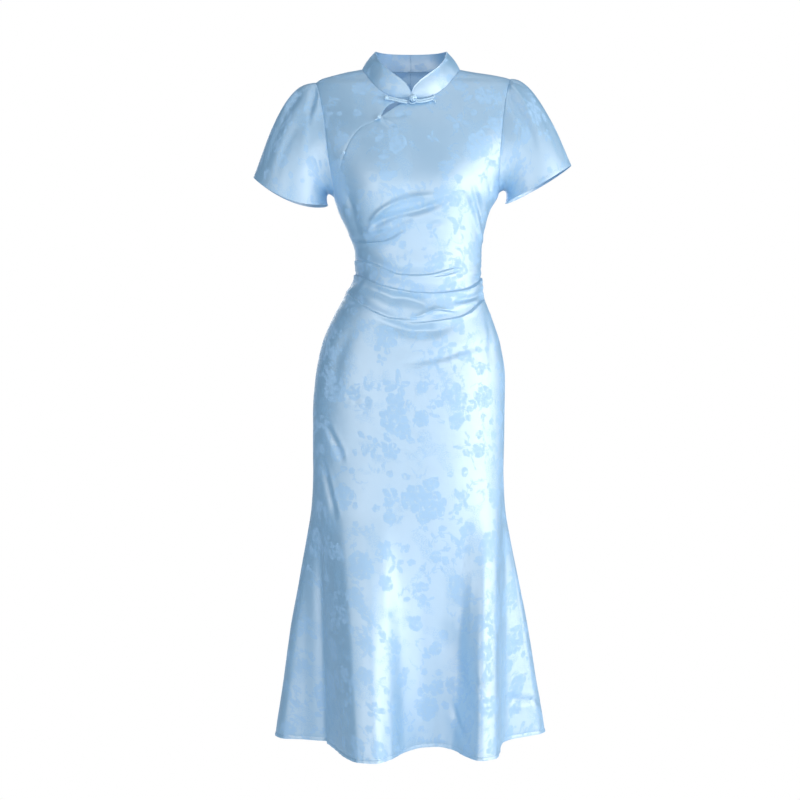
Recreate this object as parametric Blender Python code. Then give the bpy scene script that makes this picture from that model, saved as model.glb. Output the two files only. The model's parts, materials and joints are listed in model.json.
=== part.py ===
"""A fishtail dress in satin, filled out as if worn, with nobody in it.

Metres, +Z up. The front faces -Y and the wearer's left is +X. The origin is the middle of
the neck's base, level with the tops of the shoulders, where a wearer holds the dress up.

Every panel is a wall of cloth. Its outer points lie on one smooth body, which is given by
sections, and its inner points lie one wall thickness further in. A place on the body is named by
an angle and a height: angle 0 is the centre front, and a quarter turn is a side seam.
"""

from collections import namedtuple

import bmesh
import bpy
import numpy as np
from mathutils import Vector
from mathutils.bvhtree import BVHTree
from mathutils.geometry import delaunay_2d_cdt

# Cloth and seams
WALL = 0.0016
SEAM_GAP = 0.0003

# Heights of the main lines of the dress
HEM_Z = -1.200
FLARE_Z = -0.720
HIP_Z = -0.470
WAIST_TOP_Z = -0.310
BODICE_Z = -0.22725

# The line at the armpits slopes, and the slope fades out at the waist
ARMPIT_SLOPE = 0.00975
RIGHT, LEFT = -1, 1
FACE_FRONT, FACE_BACK = -1, 1
UNDERARM_Z = {RIGHT: -0.2255, LEFT: -0.2175}
SHOULDER_TIP_X = {RIGHT: 0.171, LEFT: 0.178}

# The neck's edge on the body
NECK_SIDE_X = 0.088
NECK_SIDE_Z = 0.005
NECK_BACK_Z = 0.0135
NECK_BACK_ROUND = 0.8
SHOULDER_LOW_Z = -0.060

# Half widths to the wearer's right and left, depths to the front and back, and roundness
Section = namedtuple("Section", "z right left front back power")
SECTIONS = [
    Section(-1.2500, 0.1760, 0.1660, 0.104, 0.112, 2.20),
    Section(-0.7200, 0.1760, 0.1660, 0.103, 0.115, 2.30),
    Section(-0.6200, 0.1765, 0.1680, 0.104, 0.124, 2.30),
    Section(-0.5500, 0.1720, 0.1690, 0.103, 0.124, 2.30),
    Section(-0.4900, 0.1600, 0.1605, 0.099, 0.115, 2.30),
    Section(-0.4400, 0.1395, 0.1440, 0.094, 0.102, 2.30),
    Section(-0.4000, 0.1175, 0.1305, 0.090, 0.092, 2.25),
    Section(-0.3650, 0.1020, 0.1275, 0.087, 0.085, 2.20),
    Section(-0.3300, 0.1010, 0.1265, 0.087, 0.085, 2.20),
    Section(-0.2900, 0.1130, 0.1310, 0.092, 0.090, 2.25),
    Section(-0.2500, 0.1310, 0.1420, 0.097, 0.096, 2.30),
    Section(-0.2255, 0.1385, 0.1560, 0.098, 0.099, 2.30),
    Section(-0.2175, 0.1405, 0.1585, 0.098, 0.100, 2.30),
    Section(-0.1800, 0.1570, 0.1780, 0.094, 0.101, 2.30),
    Section(-0.1200, 0.1780, 0.2000, 0.080, 0.099, 2.30),
    Section(-0.0600, 0.1820, 0.2030, 0.051, 0.090, 2.30),
    Section(-0.0250, 0.1760, 0.1960, 0.033, 0.081, 2.30),
    Section(-0.0140, 0.1640, 0.1820, 0.023, 0.077, 2.30),
    Section(-0.0060, 0.1380, 0.1480, 0.017, 0.074, 2.30),
    Section(-0.0010, 0.1180, 0.1180, 0.012, 0.071, 2.30),
    Section(0.0050, 0.0880, 0.0880, 0.007, 0.068, 2.30),
    Section(0.0135, 0.0720, 0.0720, 0.004, 0.060, 2.30),
    Section(0.0400, 0.0300, 0.0300, 0.002, 0.020, 2.30),
]

# The bust: soft mounds that push the front out by a share of its depth
BUST_X = 0.070
BUST_Z = -0.205
BUST_WIDTH = 0.055
BUST_HEIGHT = 0.060
BUST_SHARE = 0.10

# How far the skirt has opened from the sections to the hem's outline at each height
Flare = namedtuple("Flare", "z share")
FLARES = [
    Flare(-1.20, 1.000),
    Flare(-1.10, 0.785),
    Flare(-1.00, 0.585),
    Flare(-0.90, 0.335),
    Flare(-0.84, 0.185),
    Flare(-0.78, 0.050),
    Flare(FLARE_Z, 0.0),
]

# The hem's outline seen from above: where each flute's ridges and valleys stand, and what
# turn of the body, in degrees, the cloth of each hangs from. Lift raises the hem there.
Flute = namedtuple("Flute", "turn x y lift")
HEM = [
    Flute(-180, 0.000, 0.190, 0.000),
    Flute(-167, -0.040, 0.158, 0.003),
    Flute(-158, -0.064, 0.150, 0.004),
    Flute(-148, -0.094, 0.183, 0.000),
    Flute(-138, -0.132, 0.190, 0.000),
    Flute(-128, -0.163, 0.163, 0.000),
    Flute(-118, -0.180, 0.118, 0.003),
    Flute(-110, -0.203, 0.094, 0.005),
    Flute(-101, -0.238, 0.078, 0.002),
    Flute(-95, -0.248, 0.040, 0.000),
    Flute(-90, -0.2305, 0.002, 0.000),
    Flute(-81, -0.192, -0.004, 0.000),
    Flute(-72, -0.156, -0.022, 0.000),
    Flute(-61, -0.134, -0.085, 0.000),
    Flute(-50, -0.1135, -0.152, 0.000),
    Flute(-40, -0.090, -0.192, 0.000),
    Flute(-28, -0.062, -0.200, 0.000),
    Flute(-16, -0.036, -0.178, 0.002),
    Flute(-5, -0.012, -0.130, 0.004),
    Flute(8, 0.020, -0.104, 0.007),
    Flute(20, 0.046, -0.099, 0.007),
    Flute(32, 0.072, -0.110, 0.004),
    Flute(42, 0.092, -0.148, 0.001),
    Flute(52, 0.116, -0.178, 0.000),
    Flute(62, 0.143, -0.160, 0.000),
    Flute(70, 0.153, -0.112, 0.000),
    Flute(77, 0.160, -0.045, 0.000),
    Flute(83, 0.176, -0.008, 0.000),
    Flute(87, 0.204, 0.008, 0.002),
    Flute(92, 0.236, 0.030, 0.003),
    Flute(98, 0.247, 0.062, 0.002),
    Flute(106, 0.222, 0.090, 0.004),
    Flute(116, 0.180, 0.112, 0.003),
    Flute(127, 0.162, 0.160, 0.000),
    Flute(138, 0.130, 0.192, 0.000),
    Flute(148, 0.092, 0.186, 0.000),
    Flute(158, 0.062, 0.152, 0.004),
    Flute(167, 0.039, 0.160, 0.003),
]

# Creases (depth below 0) and soft ridges (above 0) in the cloth. Each runs through three
# places given by x and z on one face; first and last are its strengths at its two ends.
Fold = namedtuple("Fold", "face start middle end depth width first last")
FOLDS = [
    # waist, from the wearer's right side seam to the left one
    Fold(FACE_FRONT, (-0.096, -0.341), (-0.006, -0.370), (0.078, -0.359), -0.0050, 0.0070, 1.0, 0.2),
    Fold(FACE_FRONT, (0.050, -0.374), (0.066, -0.372), (0.081, -0.366), -0.0025, 0.0055, 0.3, 0.3),
    Fold(FACE_FRONT, (-0.096, -0.367), (0.010, -0.402), (0.126, -0.376), -0.0070, 0.0070, 1.0, 1.0),
    Fold(FACE_FRONT, (-0.115, -0.410), (-0.068, -0.428), (-0.037, -0.449), -0.0055, 0.0070, 1.0, 0.2),
    Fold(FACE_FRONT, (-0.011, -0.455), (0.055, -0.454), (0.130, -0.412), -0.0065, 0.0075, 0.2, 1.0),
    Fold(FACE_FRONT, (-0.100, -0.430), (-0.011, -0.468), (0.068, -0.462), -0.0045, 0.0075, 0.8, 0.1),
    Fold(FACE_FRONT, (-0.028, -0.415), (0.005, -0.424), (0.029, -0.429), -0.0030, 0.0055, 0.2, 0.2),
    Fold(FACE_FRONT, (-0.011, -0.445), (0.034, -0.436), (0.076, -0.436), -0.0030, 0.0055, 0.2, 0.2),
    Fold(FACE_FRONT, (-0.023, -0.530), (0.033, -0.520), (0.099, -0.504), -0.0025, 0.0090, 0.0, 0.4),
    Fold(FACE_FRONT, (-0.120, -0.576), (-0.096, -0.583), (-0.075, -0.590), -0.0020, 0.0070, 0.3, 0.0),
    # bodice
    Fold(FACE_FRONT, (-0.100, -0.309), (-0.045, -0.309), (-0.006, -0.291), -0.0045, 0.0065, 1.0, 0.1),
    Fold(FACE_FRONT, (-0.045, -0.284), (-0.003, -0.256), (0.062, -0.245), -0.0035, 0.0100, 0.4, 0.1),
    Fold(FACE_FRONT, (-0.084, -0.301), (-0.055, -0.257), (0.050, -0.235), 0.0035, 0.0120, 0.8, 0.1),
    Fold(FACE_FRONT, (0.122, -0.301), (0.110, -0.258), (0.095, -0.221), -0.0035, 0.0080, 0.7, 0.0),
    Fold(FACE_FRONT, (0.126, -0.262), (0.115, -0.232), (0.103, -0.207), -0.0025, 0.0060, 0.3, 0.0),
    # hip and skirt
    Fold(FACE_FRONT, (-0.150, -0.634), (-0.132, -0.666), (-0.117, -0.697), -0.0030, 0.0100, 0.3, 0.0),
    Fold(FACE_FRONT, (-0.162, -0.688), (-0.142, -0.728), (-0.125, -0.767), -0.0030, 0.0100, 0.3, 0.0),
    # the same kinds of fold on the back
    Fold(FACE_BACK, (-0.097, -0.341), (-0.055, -0.357), (-0.006, -0.353), -0.0050, 0.0070, 1.0, 0.3),
    Fold(FACE_BACK, (-0.098, -0.367), (-0.052, -0.387), (0.000, -0.384), -0.0060, 0.0070, 1.0, 0.7),
    Fold(FACE_BACK, (-0.115, -0.410), (-0.060, -0.421), (-0.014, -0.413), -0.0050, 0.0070, 1.0, 0.2),
    Fold(FACE_BACK, (-0.104, -0.430), (-0.058, -0.449), (-0.006, -0.446), -0.0045, 0.0075, 0.8, 0.4),
    Fold(FACE_BACK, (0.124, -0.352), (0.066, -0.366), (0.008, -0.360), -0.0045, 0.0070, 0.8, 0.3),
    Fold(FACE_BACK, (0.126, -0.376), (0.060, -0.398), (0.000, -0.384), -0.0065, 0.0070, 1.0, 0.7),
    Fold(FACE_BACK, (0.130, -0.412), (0.070, -0.428), (0.016, -0.422), -0.0055, 0.0075, 1.0, 0.2),
    Fold(FACE_BACK, (0.136, -0.436), (0.078, -0.456), (0.010, -0.452), -0.0040, 0.0080, 0.6, 0.2),
    Fold(FACE_BACK, (-0.100, -0.309), (-0.066, -0.303), (-0.034, -0.287), -0.0040, 0.0070, 1.0, 0.1),
    Fold(FACE_BACK, (0.126, -0.301), (0.096, -0.291), (0.064, -0.270), -0.0035, 0.0080, 0.8, 0.0),
    Fold(FACE_BACK, (-0.152, -0.560), (-0.110, -0.588), (-0.070, -0.592), -0.0025, 0.0090, 0.3, 0.0),
    Fold(FACE_BACK, (0.150, -0.540), (0.104, -0.562), (0.060, -0.560), -0.0025, 0.0090, 0.3, 0.0),
]
FOLD_STEPS = 12
FOLD_END = 0.3

# The front edge of the neck, from the centre to the side
NeckPoint = namedtuple("NeckPoint", "x z")
NECK_FRONT = [
    NeckPoint(0.000, -0.0580),
    NeckPoint(0.030, -0.0535),
    NeckPoint(0.045, -0.0465),
    NeckPoint(0.060, -0.0345),
    NeckPoint(0.075, -0.0155),
    NeckPoint(NECK_SIDE_X, NECK_SIDE_Z),
]

# The armholes' seams by height; x is how far out they run on each side and face
ArmholePoint = namedtuple("ArmholePoint", "z right_front right_back left_front left_back")
ARMHOLE = [
    ArmholePoint(-0.050, 0.1620, 0.1640, 0.1690, 0.1710),
    ArmholePoint(-0.095, 0.1545, 0.1580, 0.1625, 0.1660),
    ArmholePoint(-0.145, 0.1490, 0.1530, 0.1580, 0.1610),
    ArmholePoint(-0.190, 0.1430, 0.1445, 0.1560, 0.1575),
    ArmholePoint(-0.213, 0.1388, 0.1394, 0.1568, 0.1575),
]

# The curved placket, from the side seam up to the keyhole's lower end
PlacketPoint = namedtuple("PlacketPoint", "x z")
PLACKET = [
    PlacketPoint(-0.1320, -0.2249),
    PlacketPoint(-0.1297, -0.2001),
    PlacketPoint(-0.1240, -0.1750),
    PlacketPoint(-0.1150, -0.1493),
    PlacketPoint(-0.1043, -0.1289),
    PlacketPoint(-0.0867, -0.1097),
    PlacketPoint(-0.0673, -0.1011),
    PlacketPoint(-0.0533, -0.0907),
]

# The keyhole's two edges from there to the neck: the yoke's is rounded, the front's straight
KEYHOLE_YOKE = [
    PlacketPoint(-0.0480, -0.0785),
    PlacketPoint(-0.0410, -0.0700),
    PlacketPoint(-0.0310, -0.0640),
    PlacketPoint(-0.0220, -0.0602),
]
KEYHOLE_FRONT = [PlacketPoint(-0.0110, -0.0622)]

# The collar's upper edge, from the rounded front corner round to the centre back
CollarPoint = namedtuple("CollarPoint", "x y z")
COLLAR_FRONT = [
    CollarPoint(0.0000, -0.0540, -0.0470),
    CollarPoint(0.0035, -0.0550, -0.0385),
    CollarPoint(0.0148, -0.0545, -0.0254),
    CollarPoint(0.0290, -0.0510, -0.0140),
    CollarPoint(0.0464, -0.0420, 0.0005),
    CollarPoint(0.0588, -0.0280, 0.0165),
    CollarPoint(0.0662, -0.0060, 0.0370),
]
COLLAR_BACK = [
    CollarPoint(0.0662, -0.0060, 0.0370),
    CollarPoint(0.0650, 0.0160, 0.0400),
    CollarPoint(0.0510, 0.0380, 0.0420),
    CollarPoint(0.0280, 0.0500, 0.0425),
    CollarPoint(0.0000, 0.0530, 0.0425),
]
COLLAR_BULGE = 0.0020
COLLAR_LEVELS = (0.0, 0.12, 0.55, 1.0)

# The sleeves: the cuff's outer and inner points, its depth and how far its hem dips, and how
# the cloth leaves the armhole at the top, at the middle and at the underarm
Sleeve = namedtuple("Sleeve", "outer inner depth dip_front dip_back")
SLEEVES = {
    RIGHT: Sleeve((-0.283, -0.190), (-0.150, -0.240), 0.058, 0.021, 0.0125),
    LEFT: Sleeve((0.288, -0.169), (0.170, -0.236), 0.058, 0.006, 0.002),
}
Start = namedtuple("Start", "along_top along_side along_under out_top out_side out_under")
SLEEVE_START = {
    RIGHT: Start(0.0385, 0.0260, 0.0150, 0.0330, 0.0170, 0.0080),
    LEFT: Start(0.0330, 0.0260, 0.0150, 0.0160, 0.0160, 0.0080),
}
Arrive = namedtuple("Arrive", "top_in top_up side_in side_up under_out under_up")
SLEEVE_ARRIVE = {
    RIGHT: Arrive(0.035, 0.100, 0.004, 0.055, 0.004, 0.020),
    LEFT: Arrive(0.033, 0.084, 0.004, 0.055, 0.004, 0.020),
}

# Gathers in the sleeve cap: lines that run down from the seam, by turn round the armhole in
# degrees (0 at the shoulder, positive to the front) and share of the sleeve's length
Gather = namedtuple("Gather", "turn_top down_top turn_low down_low depth width")
GATHERS = {
    RIGHT: [
        Gather(28, 0.00, 78, 0.30, -0.0060, 0.011),
        Gather(8, 0.00, 14, 0.42, -0.0025, 0.008),
        Gather(-14, 0.00, -12, 0.36, -0.0030, 0.009),
        Gather(24, 0.30, 44, 0.92, -0.0040, 0.012),
        Gather(52, 0.02, 92, 0.55, 0.0035, 0.014),
        Gather(-40, 0.00, -58, 0.45, -0.0040, 0.011),
        Gather(-78, 0.02, -96, 0.50, -0.0030, 0.012),
    ],
    LEFT: [
        Gather(16, 0.00, 24, 0.38, -0.0030, 0.009),
        Gather(44, 0.00, 66, 0.40, -0.0035, 0.010),
        Gather(30, 0.00, 74, 0.70, 0.0040, 0.013),
        Gather(-8, 0.00, -6, 0.36, -0.0025, 0.008),
        Gather(-34, 0.00, -48, 0.45, -0.0035, 0.010),
        Gather(-70, 0.02, -88, 0.50, -0.0035, 0.012),
    ],
}
CAP_RADIUS = 0.085
SLEEVE_LENGTH = 0.190
CAP_FADE = 0.12
CUFF_FADE = 0.08
SLEEVE_ROW_SPREAD = 1.15

# The frog and the knot buttons: places on the front, by x and z
CORD = 0.0023
LOOP_PATH = [(-0.0437, -0.0570), (-0.0330, -0.0590), (-0.0200, -0.0628), (-0.0075, -0.0668)]
LOOP_WIDTHS = [0.0044, 0.0030, 0.0030, 0.0034]
ARM_PATH = [(0.0030, -0.0600), (0.0140, -0.0650), (0.0270, -0.0616), (0.0400, -0.0566)]
ARM_WIDTHS = [0.0058, 0.0030, 0.0032, 0.0052]
KEYHOLE_BUTTON = (-0.0562, -0.0945)
KEYHOLE_BUTTON_RADIUS = 0.0042
PLACKET_BUTTON = (-0.1170, -0.1560)
PLACKET_BUTTON_RADIUS = 0.0032
LAY_GAP = 0.00035
LAY_START = 0.004
LAY_ROUNDS = 8
CORD_STEPS = 10
CORD_SIDES = 10
CORD_THIN = 0.55
END_ROUND = 10
END_SHARE = 0.04

# The middle of the chart of the upper body, and the sharpest corner that a seam turns
CHART_Z = -0.300
MITRE_LIMIT = 0.10

# How finely each piece is divided
FRONT_COLUMNS = 22
BACK_COLUMNS = 12
SHOULDER_STEPS = 6
NECK_FRONT_STEPS = 9
NECK_BACK_STEPS = 6
PLACKET_STEPS = 8
KEYHOLE_STEPS = 5
ARMHOLE_STEPS = 13
UPPER_SPACING = 0.016
UPPER_HALF = 0.170
UPPER_OVERLAP = 0.020
FIRST_PLACE = 0.7
EDGE_CLEARANCE = 0.55
SAMPLES = 400
HEM_ROWS, THIGH_ROWS, WAIST_ROWS, BODICE_ROWS = 10, 6, 23, 4
SLEEVE_STEPS = 7

# How the cloth looks
SATIN_BLUE = (0.50, 0.66, 0.82)
CORD_BLUE = (0.44, 0.60, 0.78)
ROUGHNESS = 0.35
SHEEN = 0.2


def smooth(xs, ys):
    """A smooth curve through the points of a table, with no overshoot between them."""
    xs = np.asarray(xs, float)
    ys = np.asarray(ys, float)
    step = np.diff(xs)
    slope = np.diff(ys) / step
    tangent = np.zeros(len(xs))
    same_way = slope[:-1] * slope[1:] > 0
    before, after = slope[:-1][same_way], slope[1:][same_way]
    tangent[1:-1][same_way] = 2 * before * after / (before + after)
    tangent[0], tangent[-1] = slope[0], slope[-1]

    def at(x):
        x = np.clip(x, xs[0], xs[-1])
        i = np.clip(np.searchsorted(xs, x, side="right") - 1, 0, len(step) - 1)
        t = (x - xs[i]) / step[i]
        start = (1 + 2 * t) * (1 - t) ** 2 * ys[i] + t * (1 - t) ** 2 * step[i] * tangent[i]
        end = t * t * (3 - 2 * t) * ys[i + 1] + t * t * (t - 1) * step[i] * tangent[i + 1]
        return start + end

    return at


def column(table, along, name):
    """One named column of a table as a smooth curve along another column."""
    fields = table[0]._fields
    rows = sorted(table, key=lambda row: row[fields.index(along)])
    xs = [row[fields.index(along)] for row in rows]
    ys = [row[fields.index(name)] for row in rows]
    return smooth(xs, ys)


def around(name):
    """One column of the hem's table as a closed curve round the body, by angle."""
    index = Flute._fields.index(name)
    turns = [flute.turn + lap for lap in (-360, 0, 360) for flute in HEM]
    values = [flute[index] for _ in range(3) for flute in HEM]
    return smooth(np.radians(turns), values)


RIGHT_HALF = column(SECTIONS, "z", "right")
LEFT_HALF = column(SECTIONS, "z", "left")
FRONT_DEPTH = column(SECTIONS, "z", "front")
BACK_DEPTH = column(SECTIONS, "z", "back")
POWER = column(SECTIONS, "z", "power")
FLARE = column(FLARES, "z", "share")
HEM_X, HEM_Y, HEM_LIFT = around("x"), around("y"), around("lift")


def plain_body(angle, z):
    """The body without its bust, its flare and its creases."""
    sine, cosine = np.sin(angle), np.cos(angle)
    half = np.where(sine > 0, LEFT_HALF(z), RIGHT_HALF(z))
    depth = np.where(cosine > 0, FRONT_DEPTH(z), BACK_DEPTH(z))
    power = 2 / POWER(z)
    x = half * np.sign(sine) * np.abs(sine) ** power
    return np.stack([x, -depth * np.sign(cosine) * np.abs(cosine) ** power, z], axis=-1)


def body(angle, z):
    """The point of the body at an angle and a height, without its creases."""
    angle, z = np.broadcast_arrays(np.asarray(angle, float), np.asarray(z, float))
    x, y, _ = np.moveaxis(plain_body(angle, z), -1, 0)
    mound = np.exp(-(((np.abs(x) - BUST_X) / BUST_WIDTH) ** 2) - ((z - BUST_Z) / BUST_HEIGHT) ** 2)
    y = y * np.where(np.cos(angle) > 0, 1 + BUST_SHARE * mound, 1)
    share = FLARE(z)
    x = x + (HEM_X(angle) - x) * share
    y = y + (HEM_Y(angle) - y) * share
    return np.stack([x, y, z + HEM_LIFT(angle) * share], axis=-1)


def unit(vectors):
    """Vectors made one metre long."""
    return vectors / np.maximum(np.linalg.norm(vectors, axis=-1, keepdims=True), 1e-12)


def outward(angle, z, turn=2e-3, rise=4e-4):
    """The direction straight out of the body."""
    along = body(angle + turn, z) - body(angle - turn, z)
    up = body(angle, z + rise) - body(angle, z - rise)
    return unit(np.cross(along, up))


def angle_at(side, face, x, z):
    """The angle of the place that lies x out to one side, at a height, on one face."""
    half = np.where(side > 0, LEFT_HALF(z), RIGHT_HALF(z))
    share = np.clip(np.abs(x) / half, 0, 1) ** (POWER(z) / 2)
    turn = np.arcsin(share)
    return side * np.where(face == FACE_FRONT, turn, np.pi - turn)


def fold_path(fold):
    """Points along a fold, on the body."""
    t = np.linspace(0, 1, FOLD_STEPS + 1)
    start, middle, end = (np.array(p) for p in (fold.start, fold.middle, fold.end))
    bend = 2 * middle - (start + end) / 2
    path = np.outer((1 - t) ** 2, start) + np.outer(2 * t * (1 - t), bend) + np.outer(t * t, end)
    x, z = path[:, 0], path[:, 1]
    side = np.where(x < 0, RIGHT, LEFT)
    return body(angle_at(side, fold.face, x, z), z)


FOLD_PATHS = [fold_path(fold) for fold in FOLDS]


def fold_height(points):
    """How far the creases and ridges move each point out of the body."""
    shape = points.shape[:-1]
    points = points.reshape(-1, 3)
    total = np.zeros(len(points))
    for fold, path in zip(FOLDS, FOLD_PATHS):
        nearest = np.full(len(points), np.inf)
        place = np.zeros(len(points))
        for i in range(FOLD_STEPS):
            start, run = path[i], path[i + 1] - path[i]
            t = np.clip((points - start) @ run / (run @ run), 0, 1)
            distance = np.linalg.norm(points - start - t[:, None] * run, axis=1)
            closer = distance < nearest
            nearest = np.where(closer, distance, nearest)
            place = np.where(closer, (i + t) / FOLD_STEPS, place)
        strength = np.interp(place, [0, FOLD_END, 1 - FOLD_END, 1], [fold.first, 1, 1, fold.last])
        total += fold.depth * strength * np.exp(-((nearest / fold.width) ** 2))
    return total.reshape(shape)


def cloth(angle, z):
    """Outer and inner points of the cloth, and the direction straight out of it."""
    points = body(angle, z)
    out = outward(angle, z)
    outer = points + out * fold_height(points)[..., None]
    return outer, outer - WALL * out, out


def front_place(x, z):
    """A point of the front's outer face, and the direction straight out of it there."""
    angle = angle_at(np.where(x < 0, RIGHT, LEFT), FACE_FRONT, x, z)
    outer, _, out = cloth(angle, z)
    return outer, out


def shoulder_height(side, x):
    """The height of the ridge of the shoulder, x out from the middle."""
    z = np.linspace(SHOULDER_LOW_Z, NECK_BACK_Z, SAMPLES)
    half = LEFT_HALF(z) if side == LEFT else RIGHT_HALF(z)
    return np.interp(-x, -half, z)


def shoulder(side):
    """The shoulder's ridge, from the side of the neck to the tip, as angles and heights."""
    x = np.linspace(NECK_SIDE_X, SHOULDER_TIP_X[side], SHOULDER_STEPS + 1)
    z = shoulder_height(side, x)
    return np.full(len(z), side * np.pi / 2), z


def neck_front(side, steps):
    """The front edge of the neck, from the centre to the side."""
    x = NECK_SIDE_X * np.sin(np.linspace(0, np.pi / 2, steps + 1))
    z = column(NECK_FRONT, "x", "z")(x)
    return angle_at(side, FACE_FRONT, x, z), z


def neck_back(side, steps):
    """The back edge of the neck, from the side to the centre back."""
    turn = np.linspace(np.pi / 2, np.pi, steps + 1)
    z = NECK_SIDE_Z + (NECK_BACK_Z - NECK_SIDE_Z) * np.abs(np.cos(turn)) ** NECK_BACK_ROUND
    return side * turn, z


def armhole(side, face):
    """One half of an armhole's seam, from the underarm up to the shoulder tip."""
    low, high = UNDERARM_Z[side], float(shoulder_height(side, SHOULDER_TIP_X[side]))
    name = ("left_" if side == LEFT else "right_") + ("front" if face == FACE_FRONT else "back")
    rows = [(row.z, row[ArmholePoint._fields.index(name)]) for row in ARMHOLE]
    half = float(LEFT_HALF(low) if side == LEFT else RIGHT_HALF(low))
    rows = sorted(rows + [(low, half), (high, SHOULDER_TIP_X[side])])
    z = low + (high - low) * (1 - np.cos(np.linspace(0, np.pi, ARMHOLE_STEPS + 1))) / 2
    x = smooth([row[0] for row in rows], [row[1] for row in rows])(z)
    return angle_at(side, face, x, z), z


def route_points(route, steps):
    """Places spread evenly along a route of x and z."""
    route = np.array(route, float)
    length = np.concatenate([[0], np.cumsum(np.linalg.norm(np.diff(route, axis=0), axis=1))])
    along = np.linspace(0, length[-1], steps + 1)
    return smooth(length, route[:, 0])(along), smooth(length, route[:, 1])(along)


def placket(keyhole, end):
    """The placket's seam from the side seam to the keyhole, and an edge of the keyhole to its end."""
    low_z = BODICE_Z - ARMPIT_SLOPE
    seam = route_points([(-float(RIGHT_HALF(low_z)), low_z)] + PLACKET, PLACKET_STEPS)
    hole = route_points([PLACKET[-1]] + keyhole + [end], KEYHOLE_STEPS)
    x, z = (np.concatenate([low, high[1:]]) for low, high in zip(seam, hole))
    return angle_at(RIGHT, FACE_FRONT, x, z), z


def joined(*edges):
    """Edges that follow one another, as one edge."""
    angle = np.concatenate([edges[0][0]] + [edge[0][1:] for edge in edges[1:]])
    z = np.concatenate([edges[0][1]] + [edge[1][1:] for edge in edges[1:]])
    return angle, z


def flipped(edge):
    return edge[0][::-1], edge[1][::-1]


def low_heights():
    """Heights of the rows from the hem to the armpits, closest together at the waist."""
    return np.concatenate(
        [
            np.linspace(HEM_Z, FLARE_Z, HEM_ROWS + 1)[:-1],
            np.linspace(FLARE_Z, HIP_Z, THIGH_ROWS + 1)[:-1],
            np.linspace(HIP_Z, WAIST_TOP_Z, WAIST_ROWS + 1)[:-1],
            np.linspace(WAIST_TOP_Z, BODICE_Z, BODICE_ROWS + 1),
        ]
    )


def low_grid(angles):
    """Angles, heights and triangles of a panel from the hem to the armpits."""
    z = low_heights()[:, None]
    fade = np.clip((z - WAIST_TOP_Z) / (BODICE_Z - WAIST_TOP_Z), 0, 1) ** 2
    angle = np.broadcast_to(angles, (len(z), len(angles)))
    height = z + ARMPIT_SLOPE * fade * np.sin(angle)
    columns = len(angles)
    triangles = []
    for i in range(len(z) - 1):
        for j in range(columns - 1):
            a, b = i * columns + j, i * columns + j + 1
            triangles += [(a, b, b + columns), (a, b + columns, a + columns)]
    return angle, height, triangles


def chart(angle, z):
    """The body's upper part laid out flat, as seen from its middle towards the neck."""
    ray = unit(plain_body(angle, z) - np.array([0, 0, CHART_Z]))
    return ray[..., :2] / (1 + ray[..., 2:])


def profile_places(face, spacing):
    """Places spread evenly over one face of the upper body."""
    angles, heights = [], []
    for x in np.arange(-UPPER_HALF, UPPER_HALF + spacing / 2, spacing):
        side = RIGHT if x < 0 else LEFT
        top = float(shoulder_height(side, abs(x)))
        z = top - (top - BODICE_Z + UPPER_OVERLAP) * np.linspace(0, 1, SAMPLES) ** 2
        angle = angle_at(side, face, x, z)
        points = plain_body(angle, z)
        length = np.concatenate([[0], np.cumsum(np.linalg.norm(np.diff(points, axis=0), axis=1))])
        at = np.arange(spacing * FIRST_PLACE, length[-1], spacing)
        angles.append(np.interp(at, length, angle))
        heights.append(np.interp(at, length, z))
    return np.concatenate(angles), np.concatenate(heights)


def is_inside(places, outline):
    """Which places of the chart lie inside an outline."""
    inside = np.zeros(len(places), bool)
    for (x1, y1), (x2, y2) in zip(outline, np.roll(outline, -1, axis=0)):
        crosses = (y1 > places[:, 1]) != (y2 > places[:, 1])
        rise = (y2 - y1) if y2 != y1 else 1.0
        inside ^= crosses & (places[:, 0] < x1 + (places[:, 1] - y1) * (x2 - x1) / rise)
    return inside


def filled(outline, face, spacing):
    """Angles, heights and triangles that fill an outline; its own places come first."""
    angle, z = profile_places(face, spacing)
    edge = chart(*outline)
    keep = is_inside(chart(angle, z), edge)
    rim = plain_body(*outline)
    away = np.linalg.norm(plain_body(angle, z)[:, None] - rim[None], axis=2).min(axis=1)
    keep &= away > spacing * EDGE_CLEARANCE
    angle = np.concatenate([outline[0], angle[keep]])
    z = np.concatenate([outline[1], z[keep]])
    count = len(edge)
    places = [Vector(place) for place in chart(angle, z)]
    sides = [(i, (i + 1) % count) for i in range(count)]
    made = delaunay_2d_cdt(places, sides, [], 1, 1e-9)
    first = [ids[0] for ids in made[3]]
    triangles = [tuple(first[i] for i in face_points) for face_points in made[2]]
    return angle, z, triangles


def welded(low, high, row):
    """A lower grid and an upper filling whose first places are the grid's last row."""
    angle = np.concatenate([low[0].ravel(), high[0][row:]])
    z = np.concatenate([low[1].ravel(), high[1][row:]])
    shift = low[0].size - row
    triangles = low[2] + [tuple(shift + i for i in triangle) for triangle in high[2]]
    return angle, z, triangles


def border(triangles):
    """The edges of a sheet that only one triangle has, in the triangles' order."""
    once = {}
    for triangle in triangles:
        for a, b in zip(triangle, triangle[1:] + triangle[:1]):
            if (b, a) in once:
                del once[(b, a)]
            else:
                once[(a, b)] = True
    return list(once)


def trimmed(outer, inner, out, edges, at_hem):
    """A sheet with its edges moved in by half a seam gap, along the cloth; the hem stays."""
    sums = np.zeros_like(outer)
    found = {}
    for a, b in edges:
        if at_hem[a] and at_hem[b]:
            continue
        run = outer[b] - outer[a]
        for i in (a, b):
            found.setdefault(i, []).append(unit(np.cross(out[i], run)))
    for i, ways in found.items():
        total = sum(ways)
        if len(ways) == 2:
            total = total / max(1 + float(ways[0] @ ways[1]), MITRE_LIMIT)
        sums[i] = total * SEAM_GAP / 2
    return outer + sums, inner + sums


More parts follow.
